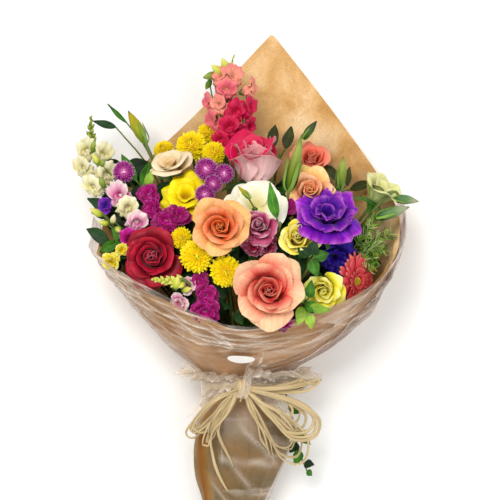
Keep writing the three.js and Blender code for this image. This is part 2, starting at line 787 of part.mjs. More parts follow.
addPiece("kraft_paper", kraftPaper(), "kraft");
addPiece("film_wrap", filmWrap(), "film", 0.1);
addPiece("film_liner", filmLiner(), "film", 0.1);
addPiece("stem_binding", stemBinding(), "film");
addPiece("raffia_band", raffiaBand(), "raffia");
addPiece("plain_sticker", plainSticker(), "sticker");
const knot = turned(PROFILES.ball, KNOT.radius, vector(KNOT.centre), vector(OUT));
addPiece("raffia_knot", knot, "raffia");
for (const { name, radius, path } of BOW)
  addPiece(name, tube(path.map(vector), radius, 8, 12), "raffia");
addPiece("leaf_sprig_tie", tieSprig(), "darkLeaf");

// Stems are placed in order; each is cut back, with a little room, from the paper and from the
// earlier stems that it presses against.
const slots = assignSlots(STEMS);
const placed = [kraftPaper(-PAPER - CLEARANCE), filmWrap(CLEARANCE), filmLiner(FILM + CLEARANCE)];
STEMS.forEach((stem, i) => {
  const whole = stemSolid(stem, slots[i]);
  let solid = whole;
  for (const earlier of placed) solid = solid.subtract(earlier);
  solid = largestBody(solid);
  placed.push(stemSolid(stem, slots[i], CLEARANCE));
  addPiece(stem.name, solid, stem.colour);
});

export default bouquet;
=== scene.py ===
"""A mixed flower bouquet in kraft paper and clear film, tied with a raffia bow, on its back.

The tables hold millimetres, and MM turns them into metres; the raffia's routes are in metres.
Every bloom, leaf and sheet is a grid of points, and a Piece gathers grids into one mesh.
"""

import json
import math
import zlib

import bpy
import numpy as np
from mathutils import Vector
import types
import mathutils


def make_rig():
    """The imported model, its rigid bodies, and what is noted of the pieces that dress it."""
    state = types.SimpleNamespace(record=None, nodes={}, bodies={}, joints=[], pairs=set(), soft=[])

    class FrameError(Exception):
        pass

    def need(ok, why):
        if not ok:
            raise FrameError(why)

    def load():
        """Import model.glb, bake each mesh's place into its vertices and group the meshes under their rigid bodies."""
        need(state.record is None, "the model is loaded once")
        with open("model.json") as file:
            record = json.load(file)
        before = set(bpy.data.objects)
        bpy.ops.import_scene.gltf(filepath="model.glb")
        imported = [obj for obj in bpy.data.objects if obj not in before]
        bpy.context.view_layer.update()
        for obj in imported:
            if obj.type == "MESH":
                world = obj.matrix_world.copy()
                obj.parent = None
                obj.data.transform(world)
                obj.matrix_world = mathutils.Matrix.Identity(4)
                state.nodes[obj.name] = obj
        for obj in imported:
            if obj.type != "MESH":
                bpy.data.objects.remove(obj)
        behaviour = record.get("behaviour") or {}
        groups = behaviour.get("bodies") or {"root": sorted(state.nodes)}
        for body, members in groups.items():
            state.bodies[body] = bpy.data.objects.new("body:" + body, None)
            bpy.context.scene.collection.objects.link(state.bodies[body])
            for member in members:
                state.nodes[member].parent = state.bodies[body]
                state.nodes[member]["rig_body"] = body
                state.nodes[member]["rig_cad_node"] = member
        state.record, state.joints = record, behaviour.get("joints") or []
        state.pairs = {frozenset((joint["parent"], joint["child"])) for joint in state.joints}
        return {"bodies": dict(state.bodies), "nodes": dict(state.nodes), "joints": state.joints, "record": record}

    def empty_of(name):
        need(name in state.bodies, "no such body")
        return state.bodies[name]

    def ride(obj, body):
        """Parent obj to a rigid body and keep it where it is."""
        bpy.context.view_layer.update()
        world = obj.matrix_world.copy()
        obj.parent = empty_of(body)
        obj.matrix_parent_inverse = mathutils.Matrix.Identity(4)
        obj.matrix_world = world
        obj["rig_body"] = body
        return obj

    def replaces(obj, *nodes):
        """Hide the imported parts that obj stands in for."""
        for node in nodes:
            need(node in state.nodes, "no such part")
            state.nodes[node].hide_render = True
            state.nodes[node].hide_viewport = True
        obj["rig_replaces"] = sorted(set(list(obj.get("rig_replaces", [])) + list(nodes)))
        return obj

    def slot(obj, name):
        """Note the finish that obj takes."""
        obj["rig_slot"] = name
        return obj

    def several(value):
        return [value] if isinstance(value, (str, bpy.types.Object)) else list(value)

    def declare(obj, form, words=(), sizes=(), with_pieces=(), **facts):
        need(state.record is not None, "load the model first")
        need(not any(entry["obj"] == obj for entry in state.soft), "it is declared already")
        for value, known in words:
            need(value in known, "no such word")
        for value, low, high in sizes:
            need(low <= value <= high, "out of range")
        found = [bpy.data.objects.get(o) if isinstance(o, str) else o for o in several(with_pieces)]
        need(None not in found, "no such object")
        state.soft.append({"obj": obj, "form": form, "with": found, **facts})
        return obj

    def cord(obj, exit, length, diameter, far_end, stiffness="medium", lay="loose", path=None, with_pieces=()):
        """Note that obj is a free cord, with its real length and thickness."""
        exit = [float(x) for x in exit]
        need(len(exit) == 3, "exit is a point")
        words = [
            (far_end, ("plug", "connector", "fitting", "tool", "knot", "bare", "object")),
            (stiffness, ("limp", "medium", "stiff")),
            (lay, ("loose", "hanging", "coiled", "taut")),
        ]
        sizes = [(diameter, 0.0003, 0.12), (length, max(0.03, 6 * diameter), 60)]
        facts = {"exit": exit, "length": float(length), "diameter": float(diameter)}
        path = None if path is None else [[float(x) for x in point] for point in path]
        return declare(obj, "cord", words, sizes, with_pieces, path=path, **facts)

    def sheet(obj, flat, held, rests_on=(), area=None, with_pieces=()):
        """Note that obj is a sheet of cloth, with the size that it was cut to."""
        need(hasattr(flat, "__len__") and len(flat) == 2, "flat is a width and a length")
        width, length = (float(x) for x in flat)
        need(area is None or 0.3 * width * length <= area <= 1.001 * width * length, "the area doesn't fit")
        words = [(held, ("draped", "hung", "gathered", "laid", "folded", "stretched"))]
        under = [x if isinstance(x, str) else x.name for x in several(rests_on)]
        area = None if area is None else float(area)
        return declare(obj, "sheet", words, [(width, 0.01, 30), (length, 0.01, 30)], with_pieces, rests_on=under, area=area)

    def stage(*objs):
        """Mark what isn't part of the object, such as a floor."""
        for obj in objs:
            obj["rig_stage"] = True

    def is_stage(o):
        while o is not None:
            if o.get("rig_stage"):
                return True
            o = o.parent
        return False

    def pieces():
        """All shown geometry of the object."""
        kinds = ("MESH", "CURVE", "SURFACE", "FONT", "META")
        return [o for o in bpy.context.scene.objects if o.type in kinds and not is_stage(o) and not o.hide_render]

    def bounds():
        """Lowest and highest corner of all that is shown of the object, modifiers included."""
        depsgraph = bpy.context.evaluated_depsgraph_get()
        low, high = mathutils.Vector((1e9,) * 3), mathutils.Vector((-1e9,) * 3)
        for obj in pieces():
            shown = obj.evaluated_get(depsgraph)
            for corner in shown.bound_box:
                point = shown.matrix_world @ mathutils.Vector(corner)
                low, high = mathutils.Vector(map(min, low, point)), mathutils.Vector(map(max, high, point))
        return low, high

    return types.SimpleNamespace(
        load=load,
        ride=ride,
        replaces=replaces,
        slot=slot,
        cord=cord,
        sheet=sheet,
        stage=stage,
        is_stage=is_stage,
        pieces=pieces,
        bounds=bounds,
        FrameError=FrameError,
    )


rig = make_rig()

MM = 0.001
FULL_TURN = 2 * math.pi
GOLDEN_ANGLE = math.radians(137.508)
FLOOR_GAP = 0.0006  # the floor plane lies just under the paper
FLOOR_HALF = 3.0
CAMERA_HEIGHT = 2.2
FRAME_WIDTH = 0.540  # what the camera sees across, at the floor
SENSOR_MM = 36

KNOT = np.array((-0.008, -0.143, 0.077))
TIE_REACH = 0.6  # where the raffia lies on the wrapper, from its lower end (0) to its rim (1)
STRAND_WIDTH, STRAND_THICKNESS = 0.0034, 0.0015
STRAND_POINTS = 40
STRAND_WOBBLE, STRAND_LIFT = 0.0016, 0.0045  # how far a strand strays sideways and upwards
HANGING = 0.03  # a route that ends this far below the knot has a loose end
PETAL_THICKNESS, LEAF_THICKNESS, SEPAL_THICKNESS = 0.0004, 0.0005, 0.0006
STEM_RADIUS, TWIG_RADII = 0.0020, (0.0012, 0.0008)
NEEDLE_RADIUS, RIB_RADIUS = 0.0005, 0.0006  # of the fern's fronds

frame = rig.load()
cad_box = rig.bounds()


# ---- small tools ---------------------------------------------------------------------------


def seeded(name):
    """A random generator that gives the same numbers for a name on every run."""
    return np.random.default_rng(zlib.crc32(name.encode()))


def unit(vector):
    vector = np.asarray(vector, float)
    return vector / np.linalg.norm(vector)


def ramp(value, low, high):
    """0 below low, 1 above high, smooth between."""
    share = np.clip((value - low) / (high - low), 0, 1)
    return share * share * (3 - 2 * share)


def bell(value):
    """1 at 0, falling away smoothly on both sides."""
    return np.exp(-(value**2))


def between(a, b, c, d, w):
    """The Catmull-Rom curve from b (w = 0) to c (w = 1)."""
    t0, t1 = (c - a) / 2, (d - b) / 2
    return b + w * (t0 + w * ((3 * (c - b) - 2 * t0 - t1) + w * (2 * (b - c) + t0 + t1)))


def spline(points, place):
    """Uniform Catmull-Rom through points (n, ...) at place in 0..1, an array of shape (m,)."""
    points = np.asarray(points, float)
    scaled = np.clip(place, 0, 1) * (len(points) - 1)
    index = np.minimum(scaled.astype(int), len(points) - 2)
    first, last = 2 * points[0] - points[1], 2 * points[-1] - points[-2]
    padded = np.concatenate([[first], points, [last]])
    a, b, c, d = (padded[index + k] for k in range(4))
    return between(a, b, c, d, (scaled - index).reshape((-1,) + (1,) * (points.ndim - 1)))


def crossed(along, across):
    """Unit vectors at right angles to two grids of directions."""
    normals = np.cross(along, across)
    return normals / np.maximum(np.linalg.norm(normals, axis=-1, keepdims=True), 1e-12)


def circle(radius, height, count=12):
    """A ring of points round the z axis."""
    angle = np.linspace(0, FULL_TURN, count, endpoint=False)
    return np.stack([radius * np.cos(angle), radius * np.sin(angle), height + 0 * angle], -1)


def slanted_waves(x, y, seed, count, low, high):
    """For each of some random waves: how far along and across it a point is, its number of
    waves to a unit and its phase."""
    rng = seeded(seed)
    for _ in range(count):
        turn, size, phase = rng.uniform(0, math.pi), rng.uniform(low, high), rng.uniform(0, 7)
        c, s = math.cos(turn), math.sin(turn)
        yield x * c + y * s, x * s - y * c, size, phase


def ripple(x, y, seed, count, low=1.0, high=3.0):
    """A smooth random height, in about -1..1, over two coordinates."""
    total = 0
    for slanted, _, size, phase in slanted_waves(x, y, seed, count, low, high):
        total = total + np.sin(FULL_TURN * size * slanted + phase)
    return total / count**0.5 / 1.3


def creases(x, y, seed, count, low, high):
    """Sharp ridges, about 0..1, as thin film or paper shows where it was crushed."""
    total = 0
    for slanted, across, size, phase in slanted_waves(x, y, seed, count, low, high):
        bent = slanted + 0.25 * np.sin(3 * across + phase)
        total = total + 1 - np.abs((size * bent + phase) % 2 - 1) * 2
    return total / count**0.5 / 1.4


# ---- pieces ---------------------------------------------------------------------------------


def head_axes(facing, spin=0.0):
    """The x, y and z directions of a head that faces that way, as rows."""
    z = unit(facing)
    x = unit(np.cross((0, 1, 0), z)) if abs(z[1]) < 0.9 else unit(np.cross((1, 0, 0), z))
    y = np.cross(z, x)
    c, s = math.cos(spin), math.sin(spin)
    return np.array([c * x + s * y, c * y - s * x, z])


class Piece:
    """Gathers grids and tubes into one mesh object that stands for a CAD node.

    Each vertex carries "paint": how far along its petal, across it, on the reverse or not, and
    the petal's own random number; and "ring": 0 for a bloom's heart to 1 for its outside.
    """

    def __init__(self, name, slot, node):
        self.name, self.slot, self.node = name, slot, node
        self.parts, self.faces, self.materials = [], [], []
        self.count = 0

    def _put(self, points, paint, ring, border, faces, material):
        """Adds a grid; border numbers the edge loops between which the shading breaks."""
        if material not in self.materials:
            self.materials.append(material)
        points, paint = points.reshape(-1, 3), paint.reshape(-1, 4)
        self.parts.append((points, paint, np.full(len(points), ring, float), border))
        for quads in faces:
            number = np.full(len(quads), self.materials.index(material))
            self.faces.append((quads + self.count, number))
        self.count += len(points)

    @staticmethod
    def _quads(rows, columns, closed):
        spans = columns if closed else columns - 1
        a = np.arange(rows - 1)[:, None] * columns + np.arange(spans)
        b = np.arange(rows - 1)[:, None] * columns + (np.arange(spans) + 1) % columns
        return np.stack([a, a + columns, b + columns, b], -1).reshape(-1, 4)

    @staticmethod
    def _edge_loop(rows, columns):
        down = np.arange(rows) * columns
        bottom = (rows - 1) * columns + np.arange(1, columns)
        up = np.arange(rows - 2, -1, -1) * columns + columns - 1
        top = np.arange(columns - 2, 0, -1)
        return np.concatenate([down, bottom, up, top])

    def plate(self, grid, thickness, material, ring=0.0, vary=0.5, along=None, across=None):
        """A thin closed solid over an open grid; its first face is the upper or inner one."""
        rows, columns = grid.shape[:2]
        along = np.linspace(0, 1, rows)[:, None] if along is None else along
        across = np.linspace(0, 1, columns)[None, :] if across is None else across
        paint = np.zeros((2, rows, columns, 4))
        paint[..., 0] = along
        paint[..., 1] = across
        paint[1, ..., 2] = 1
        paint[..., 3] = vary
        under = grid - crossed(np.gradient(grid, axis=0), np.gradient(grid, axis=1)) * thickness
        top = self._quads(rows, columns, False)
        size = rows * columns
        loop = self._edge_loop(rows, columns)
        after = np.roll(loop, -1)
        rim = np.stack([after, loop, loop + size, after + size], -1)
        border = np.zeros(2 * size, int)
        border[loop], border[loop + size] = 1, 2
        faces = [top, top[:, ::-1] + size, rim]
        self._put(np.stack([grid, under]), paint, ring, border, faces, material)

    def film(self, grid, material, bright, deep=0.0):
        """An open sheet with no thickness. Its paint holds the painted highlight on its creases in place of
        across, and the painted shade in its troughs in place of the reverse."""
        paint = np.zeros(grid.shape[:2] + (4,))
        paint[..., 1] = np.clip(bright, 0, 1)
        paint[..., 2] = np.clip(deep, 0, 1)
        faces = [self._quads(*grid.shape[:2], False)]
        self._put(grid, paint, 0, np.zeros(grid.size // 3, int), faces, material)

    def sleeve(self, grid, material, ring=0.0, vary=0.5):
        """A closed tube: each row of the grid is one ring, and a fan closes each end."""
        rows, columns = grid.shape[:2]
        paint = np.zeros((rows, columns, 4))
        paint[..., 0] = np.linspace(0, 1, rows)[:, None]
        paint[..., 1] = np.linspace(0, 1, columns)[None, :]
        paint[..., 3] = vary
        paint = paint.reshape(-1, 4)
        paint = np.concatenate([paint, paint[:1], paint[-1:]])
        points = np.concatenate([grid.reshape(-1, 3), [grid[0].mean(0), grid[-1].mean(0)]])
        this = np.arange(columns)
        after = (this + 1) % columns
        middle, last = np.full(columns, rows * columns), (rows - 1) * columns
        faces = [
            self._quads(rows, columns, True)[:, ::-1],
            np.stack([after, this, middle], -1),
            np.stack([this + last, after + last, middle + 1], -1),
        ]
        self._put(points, paint, ring, np.zeros(len(points), int), faces, material)

    def tube(self, path, radii, material, sides=8, flatten=1.0, twist=0.0, vary=0.5):
        """A tube along a path; its section is flatten times as thick as it is wide."""
        radii = np.broadcast_to(radii, len(path))
        tangents = np.gradient(path, axis=0)
        tangents /= np.linalg.norm(tangents, axis=1, keepdims=True)
        side = np.cross(tangents[0], (0, 0, 1) if abs(tangents[0][2]) < 0.9 else (0, 1, 0))
        turns = np.linspace(0, FULL_TURN, sides, endpoint=False)[:, None]
        rings = []
        for i, (point, tangent) in enumerate(zip(path, tangents)):
            side = unit(side - tangent * (side @ tangent))
            other = np.cross(tangent, side)
            spin = twist * i / len(path)
            wide = math.cos(spin) * side + math.sin(spin) * other
            thin = math.cos(spin) * other - math.sin(spin) * side
            rings.append(point + radii[i] * (np.cos(turns) * wide + flatten * np.sin(turns) * thin))
        self.sleeve(np.array(rings), material, vary=vary)

    def finish(self):
        """The finished Blender object, riding on the bouquet's one body."""
        points, paint, ring, border = (np.concatenate(part) for part in zip(*self.parts))
        faces, numbers = zip(*self.faces)
        corners = np.concatenate([quads.ravel() for quads in faces])
        sizes = np.concatenate([np.full(len(quads), quads.shape[1]) for quads in faces])
        mesh = bpy.data.meshes.new(self.name)
        mesh.vertices.add(len(points))
        mesh.vertices.foreach_set("co", points.ravel())
        mesh.loops.add(len(corners))
        mesh.loops.foreach_set("vertex_index", corners)
        mesh.polygons.add(len(sizes))
        mesh.polygons.foreach_set("loop_start", np.cumsum(sizes) - sizes)
        mesh.polygons.foreach_set("material_index", np.concatenate(numbers))
        mesh.polygons.foreach_set("use_smooth", np.ones(len(sizes), bool))
        mesh.update(calc_edges=True)
        ends = np.zeros(len(mesh.edges) * 2, int)
        mesh.edges.foreach_get("vertices", ends)
        border = border[ends.reshape(-1, 2)]
        sharp = (border[:, 0] > 0) & (border[:, 0] == border[:, 1])
        mesh.edges.foreach_set("use_edge_sharp", sharp)
        colours = mesh.attributes.new("paint", "FLOAT_COLOR", "POINT")
        colours.data.foreach_set("color", paint.ravel())
        mesh.attributes.new("ring", "FLOAT", "POINT").data.foreach_set("value", ring)
        for material in self.materials:
            mesh.materials.append(material)
        mesh.validate()
        obj = bpy.data.objects.new(self.name, mesh)
        bpy.context.scene.collection.objects.link(obj)
        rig.ride(obj, "root")
        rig.slot(obj, self.slot)
        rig.replaces(obj, self.node)
        return obj


# ---- materials ------------------------------------------------------------------------------


def srgb(text):
    """A hex colour as linear RGBA."""
    parts = [int(text[i : i + 2], 16) / 255 for i in (0, 2, 4)]
    linear = [p / 12.92 if p <= 0.04045 else ((p + 0.055) / 1.055) ** 2.4 for p in parts]
    return (*linear, 1.0)


class Paint:
    """A material being built: short calls that add nodes and link them."""

    def __init__(self, name):
        self.material = bpy.data.materials.new(name)
        self.material.use_nodes = True
        self.tree = self.material.node_tree
        self.tree.nodes.clear()
        self.coordinates = self.node("TexCoord").outputs["Object"]
        paint = self.node("Attribute", {"attribute_name": "paint"})
        split = self.node("SeparateColor", Color=paint.outputs["Color"])
        self.along, self.across, self.reverse = split.outputs[:3]
        self.vary = paint.outputs["Alpha"]
        self.ring = self.node("Attribute", {"attribute_name": "ring"}).outputs["Fac"]

    def node(self, kind, settings=(), **inputs):
        made = self.tree.nodes.new("ShaderNode" + kind)
        for key, value in dict(settings).items():
            setattr(made, key, value)
        for key, value in inputs.items():
            self.put(made.inputs[key.replace("_", " ")], value)
        return made

    def put(self, socket, value):
        if isinstance(value, bpy.types.NodeSocket):
            self.tree.links.new(value, socket)
        else:
            socket.default_value = value

    def math(self, operation, *values, clamp=False):
        made = self.node("Math", {"operation": operation, "use_clamp": clamp})
        for socket, value in zip(made.inputs, values):
            self.put(socket, value)
        return made.outputs[0]

    def times(self, first, second):
        return self.math("MULTIPLY", first, second)

    def plus(self, first, second, share):
        """first, and second times a share."""
        return self.math("ADD", first, self.times(second, share))

    def minus(self, first, second):
        return self.math("SUBTRACT", first, second)

    def off_middle(self):
        """How far across from the middle: 0 there and 0.5 at the margins."""
        return self.math("ABSOLUTE", self.minus(self.across, 0.5))

    def mix(self, share, first, second, blend="MIX"):
        made = self.node("Mix", {"data_type": "RGBA", "blend_type": blend})
        for number, value in ((0, share), (6, first), (7, second)):
            self.put(made.inputs[number], value)
        return made.outputs[2]

    def tint(self, colour, text, share):
        """The colour mixed with a hex colour, by a share."""
        return self.mix(share, colour, srgb(text))

    def toned(self, colour, least, spread, saturation=1.0):
        """The colour lighter or darker by each petal's own random number."""
        value = self.plus(least, self.vary, spread)
        made = self.node("HueSaturation", Color=colour, Value=value, Saturation=saturation)
        return made.outputs[0]

    def steps(self, value, *stops):
        """A colour ramp; each stop is (position, hex colour or grey)."""
        made = self.node("ValToRGB", Fac=value)
        elements = made.color_ramp.elements
        while len(elements) < len(stops):
            elements.new(0.5)
        for element, (position, colour) in zip(elements, stops):
            element.position = position
            element.color = srgb(colour) if isinstance(colour, str) else (colour,) * 3 + (1,)
        return made.outputs[0]

    def noise(self, scale, detail, where=None, distortion=0.0):
        inputs = {"Scale": scale, "Detail": detail, "Distortion": distortion}
        return self.node("TexNoise", Vector=where or self.coordinates, **inputs).outputs[0]

    def stretched(self, *scale):
        """The coordinates, drawn out along the axes whose scale is small."""
        return self.node("Mapping", Vector=self.coordinates, Scale=scale).outputs[0]

    def fibres(self, sizes, *noise):
        """Noise in a petal's or strand's own coordinates; sizes are its scales across and along
        it and between one and the next."""
        made = self.node("CombineXYZ")
        for socket, value, size in zip(made.inputs, (self.across, self.along, self.vary), sizes):
            self.put(socket, self.times(value, size))
        return self.noise(*noise[:2], made.outputs[0], *noise[2:])

    def bump(self, height, distance, strength):
        return self.node("Bump", Height=height, Distance=distance, Strength=strength).outputs[0]

    def finish(self, shader):
        self.put(self.node("OutputMaterial").inputs["Surface"], shader.outputs[0])
        return self.material

    def principled(self, **inputs):
        return self.finish(self.node("BsdfPrincipled", **inputs))


PETAL = {}  # the petals' materials by name


def add_petal(
    name, blade, heart=None, outer=None, back=None, edge=None, streaks=0.25, soft=0.2,
    back_share=0.8,
):
    """Adds a petal's material to PETAL. blade is its ramp from base to tip, as hex colours with the
    place of each but the first before it; heart tints the inner rings and outer the outer ones,
    back is the reverse's colour, and edge tints the side margins."""
    p = Paint("petal_" + name)
    words = ("0 " + blade).split()
    stops = zip(map(float, words[::2]), words[1::2])
    colour = p.steps(p.plus(p.along, p.minus(p.noise(140, 4), 0.5), 0.16), *stops)
    if heart:
        colour = p.tint(colour, heart[0], p.steps(p.ring, (heart[1], 1), (heart[2], 0)))
    if outer:
        colour = p.tint(colour, outer[0], p.steps(p.ring, (outer[1], 0), (outer[2], 0.8)))
    if edge:
        rim = p.math("MAXIMUM", p.times(p.off_middle(), 2.0), p.along)
        colour = p.tint(colour, edge[0], p.times(p.steps(rim, (edge[1], 0), (1.0, 1)), 0.85))
    if back:
        colour = p.tint(colour, back, p.times(p.reverse, back_share))
    veins = p.fibres((9.0, 0.8, 37.0), 3.2, 5, 0.4)
    colour = p.mix(1.0, colour, p.steps(veins, (0.3, 1 - streaks), (0.62, 1.0)), "MULTIPLY")
    grain = p.noise(900, 2)
    PETAL[name] = p.principled(
        Base_Color=p.toned(colour, 0.9, 0.2, 1.12),
        Roughness=p.plus(0.42, grain, 0.2),
        Subsurface_Weight=soft * 0.6,
        Subsurface_Radius=(0.9, 0.45, 0.35),
        Subsurface_Scale=0.002,
        Specular_IOR_Level=0.3,
        Sheen_Weight=0.08,
        Sheen_Roughness=0.4,
        Normal=p.bump(p.plus(veins, grain, 0.35), 0.0004, 0.5),
    )


def leaf_material(name, deep, light, back, gloss=0.5):
    """A leaf: paler midrib and side veins, blotches, and a dull paler reverse."""
    p = Paint(name)
    colour = p.mix(p.steps(p.noise(90, 4), (0.35, 0), (0.7, 1)), srgb(deep), srgb(light))
    off = p.off_middle()
    slant = p.minus(p.times(p.along, 9.0), p.times(off, 5.0))
    side_veins = p.steps(p.math("SINE", p.times(slant, FULL_TURN)), (0.82, 0), (1.0, 1))
    veins = p.math("MAXIMUM", p.steps(off, (0.0, 1), (0.05, 0)), p.times(side_veins, 0.45))
    colour = p.tint(colour, back, p.times(veins, 0.45))
    colour = p.tint(colour, back, p.times(p.reverse, 0.6))
    height = p.minus(p.times(p.noise(700, 2), 0.3), veins)
    return p.principled(
        Base_Color=p.toned(colour, 0.75, 0.5),
        Roughness=p.plus(gloss, p.reverse, 0.2),
        Specular_IOR_Level=0.25,
        Subsurface_Weight=0.08,
        Subsurface_Radius=(0.3, 0.6, 0.1),
        Subsurface_Scale=0.001,
        Normal=p.bump(height, 0.0005, 0.6),
    )


def stem_material():
    """A green stem with fine lengthwise lines, brown blotches and a pale cut end."""
    p = Paint("green_stem")
    fibre = p.fibres((30.0, 1.0, 1.0), 4, 3)
    colour = p.steps(fibre, (0.3, "3C5A22"), (0.7, "6F8F3A"))
    colour = p.tint(colour, "C9CF9A", p.steps(p.along, (0.0, 1), (0.012, 0)))
    colour = p.tint(colour, "8A6B3C", p.times(p.noise(60, 2), 0.35))
    return p.principled(Base_Color=colour, Roughness=0.5, Normal=p.bump(fibre, 0.0004, 0.7))


def kraft_material():
    """Unbleached paper: long fibres, flecks, broad mottling, and crease ridges painted paler, partly
    worn fibre and partly painted highlight. The paint's vary is the olive tone under the tie, and
    its along the brown strip there."""
    p = Paint("kraft_paper_fibre")
    broad = p.noise(24, 5, distortion=0.6)
    colour = p.steps(broad, (0.32, "CA9856"), (0.5, "E2B478"), (0.68, "F2CF9E"))
    lengthwise = p.stretched(1.0, 0.18, 1.0)
    crossing = p.noise(1100, 3, p.stretched(0.2, 1.0, 1.0))
    fibre = p.plus(p.times(p.noise(1500, 3, lengthwise, 0.6), 0.6), crossing, 0.4)
    colour = p.mix(1.0, colour, p.steps(fibre, (0.36, 0.80), (0.62, 1.04)), "MULTIPLY")
    flecks = p.node("TexVoronoi", Vector=lengthwise, Scale=700.0).outputs["Distance"]
    colour = p.tint(colour, "8A5F34", p.steps(flecks, (0.05, 0.5), (0.13, 0)))
    # Paler along the crease ridges: partly worn fibre, partly painted highlight.
    worn_and_highlit_ridges = p.steps(p.across, (0.45, 0), (0.95, 1))
    colour = p.tint(colour, "F0D2A4", p.times(worn_and_highlit_ridges, 0.60))
    patchy = p.steps(p.noise(38, 3), (0.35, 0.65), (0.65, 1.0))
    colour = p.tint(colour, "7C6A38", p.times(p.vary, patchy))
    colour = p.tint(colour, "884E0A", p.times(p.along, 0.95))
    return p.principled(
        Base_Color=colour,
        Roughness=p.plus(0.6, fibre, 0.25),
        Specular_IOR_Level=0.2,
        Sheen_Weight=0.04,
        Normal=p.bump(p.plus(fibre, p.noise(120, 4), 1.2), 0.0005, 0.55),
    )


def film_material(name, haze, crackle, streak, tint):
    """Clear film: it shows by its reflections, stronger at a glancing angle, and by painted whitish
    highlights on its creases, in streaky patches and in small glints; tint is what it does to what is
    seen through it. The paint's across is the painted highlight on a crease, and its reverse the
    painted shade in a trough."""
    p = Paint(name)
    cells = {"feature": "DISTANCE_TO_EDGE"}
    fine = p.node("TexVoronoi", cells, Vector=p.coordinates, Scale=crackle).outputs["Distance"]
    # The share of whitish surface: real reflection at a glancing angle, plus painted sheen in streaky patches, small
    # painted glints on cell edges and the painted crease highlights.
    painted_sheen_streaks = p.noise(streak, 4, p.stretched(0.35, 1.0, 1.0), 1.4)
    share = p.plus(haze, p.node("LayerWeight", Blend=0.18).outputs["Facing"], 0.35)
    share = p.plus(share, p.steps(painted_sheen_streaks, (0.56, 0), (0.70, 1)), 0.2)
    share = p.plus(share, p.steps(fine, (0.0, 1), (0.12, 0)), 0.02)
    share = p.math("ADD", share, p.times(p.across, 0.68), clamp=True)
    # Painted shade: in its troughs the film darkens what is seen through it.
    dark = [part * TROUGH_SHADE for part in tint] + [1]
    seen = p.mix(p.times(p.reverse, 0.8), (*tint, 1), dark)
    gloss = p.node(
        "BsdfPrincipled",
        Base_Color=srgb("F8EBDA"),
        Roughness=0.12,
        Coat_Weight=0.5,
        Coat_Roughness=0.05,
        Normal=p.bump(p.math("ADD", fine, p.noise(240, 4)), 0.0012, 0.7),
    )
    mixed = p.node("MixShader", Fac=share)
    p.put(mixed.inputs[1], p.node("BsdfTransparent", Color=seen).outputs[0])
    p.put(mixed.inputs[2], gloss.outputs[0])
    return p.finish(mixed)


def raffia_material():
    """Dried palm fibre: fine lengthwise lines, straw tones and a few darker splits."""
    p = Paint("raffia_fibre")
    fibre = p.fibres((16.0, 2.0, 23.0), 3, 4)
    colour = p.steps(fibre, (0.3, "866C44"), (0.45, "BAA070"), (0.62, "DCC696"), (0.8, "EEDEB8"))
    return p.principled(
        Base_Color=p.toned(colour, 0.82, 0.3),
        Roughness=p.plus(0.38, fibre, 0.3),
        Sheen_Weight=0.15,
        Normal=p.bump(fibre, 0.0004, 0.8),
    )


def sticker_material():
    p = Paint("sticker_paper")
    grain = p.noise(1400, 3)
    colour = p.steps(grain, (0.3, "EFEBE2"), (0.7, "FBF9F4"))
    normal = p.bump(grain, 0.0001, 0.3)
    return p.principled(Base_Color=colour, Roughness=0.35, Coat_Weight=0.3, Normal=normal)


def floor_material():
    p = Paint("studio_floor")
    colour = p.steps(p.noise(6, 3), (0.0, "F7F7F6"), (1.0, "FDFDFC"))
    return p.principled(Base_Color=colour, Roughness=0.9)


KRAFT = kraft_material()
RAFFIA = raffia_material()
STEM = stem_material()
LEAF = leaf_material("leaf_bright", "205410", "44861E", "94B450")
FERN = leaf_material("leaf_fern", "90B058", "C4D088", "D8E0AC")
DARK_LEAF = leaf_material("leaf_dark", "122C14", "234A1E", "4C6C3A")
# Nearly black leaves for the gaps under the blooms, coloured as painted shade there.
SHADE_DEEP_LEAF = leaf_material("leaf_deep", "081C06", "12330C", "24481A")
OLIVE_LEAF = leaf_material("leaf_olive", "2A300C", "434A18", "6A7038", 0.55)
LIME_LEAF = leaf_material("leaf_lime", "6F9A24", "A3C53E", "C9DC86")

TROUGH_SHADE = 0.55  # painted shade: the share of light the film lets through in its deepest creases
WRAP_FILM = film_material("clear_film", 0.03, 210.0, 26.0, (0.80, 0.74, 0.72))
RUFFLE_FILM = film_material("crumpled_film", 0.24, 260.0, 60.0, (0.97, 0.95, 0.91))
LINER_FILM = film_material("clear_film_liner", -0.04, 160.0, 12.0, (0.98, 0.98, 0.97))

add_petal(
    "coral", "F0A060 0.35 E2505A 0.7 EE7870 0.92 F6A892 1 FAC8A6",
    heart=("DA3A46", 0.1, 0.7), outer=("FCD8B0", 0.7, 1.0), back="F8C8A8",
)
add_petal(
    "peach", "F4B450 0.4 EA7044 0.8 F29070 1 F6AC8C",
    heart=("E65830", 0.1, 0.7), outer=("FAD090", 0.62, 1.0), back="F8D48C",
)
add_petal(
    "mauve", "8C4048 0.5 A04060 0.85 BC6480 1 D894A8",
    heart=("8A2840", 0.05, 0.6), back="C8889C", edge=("E0B0BC", 0.88),
)
add_petal(
    "crimson", "C07080 0.25 94001E 0.7 8A001C 1 B8082C",
    heart=("E8B4C0", 0.0, 0.22), back="D87888", edge=("C41838", 0.9), streaks=0.35,
)
add_petal(
    "pink", "F4B4B0 0.5 E65A7C 0.8 E0305E 1 D61C50",
    back="FFD6D6", edge=("DC2050", 0.84), back_share=0.95,
)
add_petal(
    "orange", "FFD868 0.45 FFB890 0.8 FFC09C 1 FFD8B4",
    heart=("FC9C78", 0.1, 0.6), outer=("FFE488", 0.7, 1.0), back="FFE098",
)
add_petal("coral_back", "F8B090 0.5 F68C7C 1 FAA48C", heart=("EE7868", 0.1, 0.8), back="F8B49C")
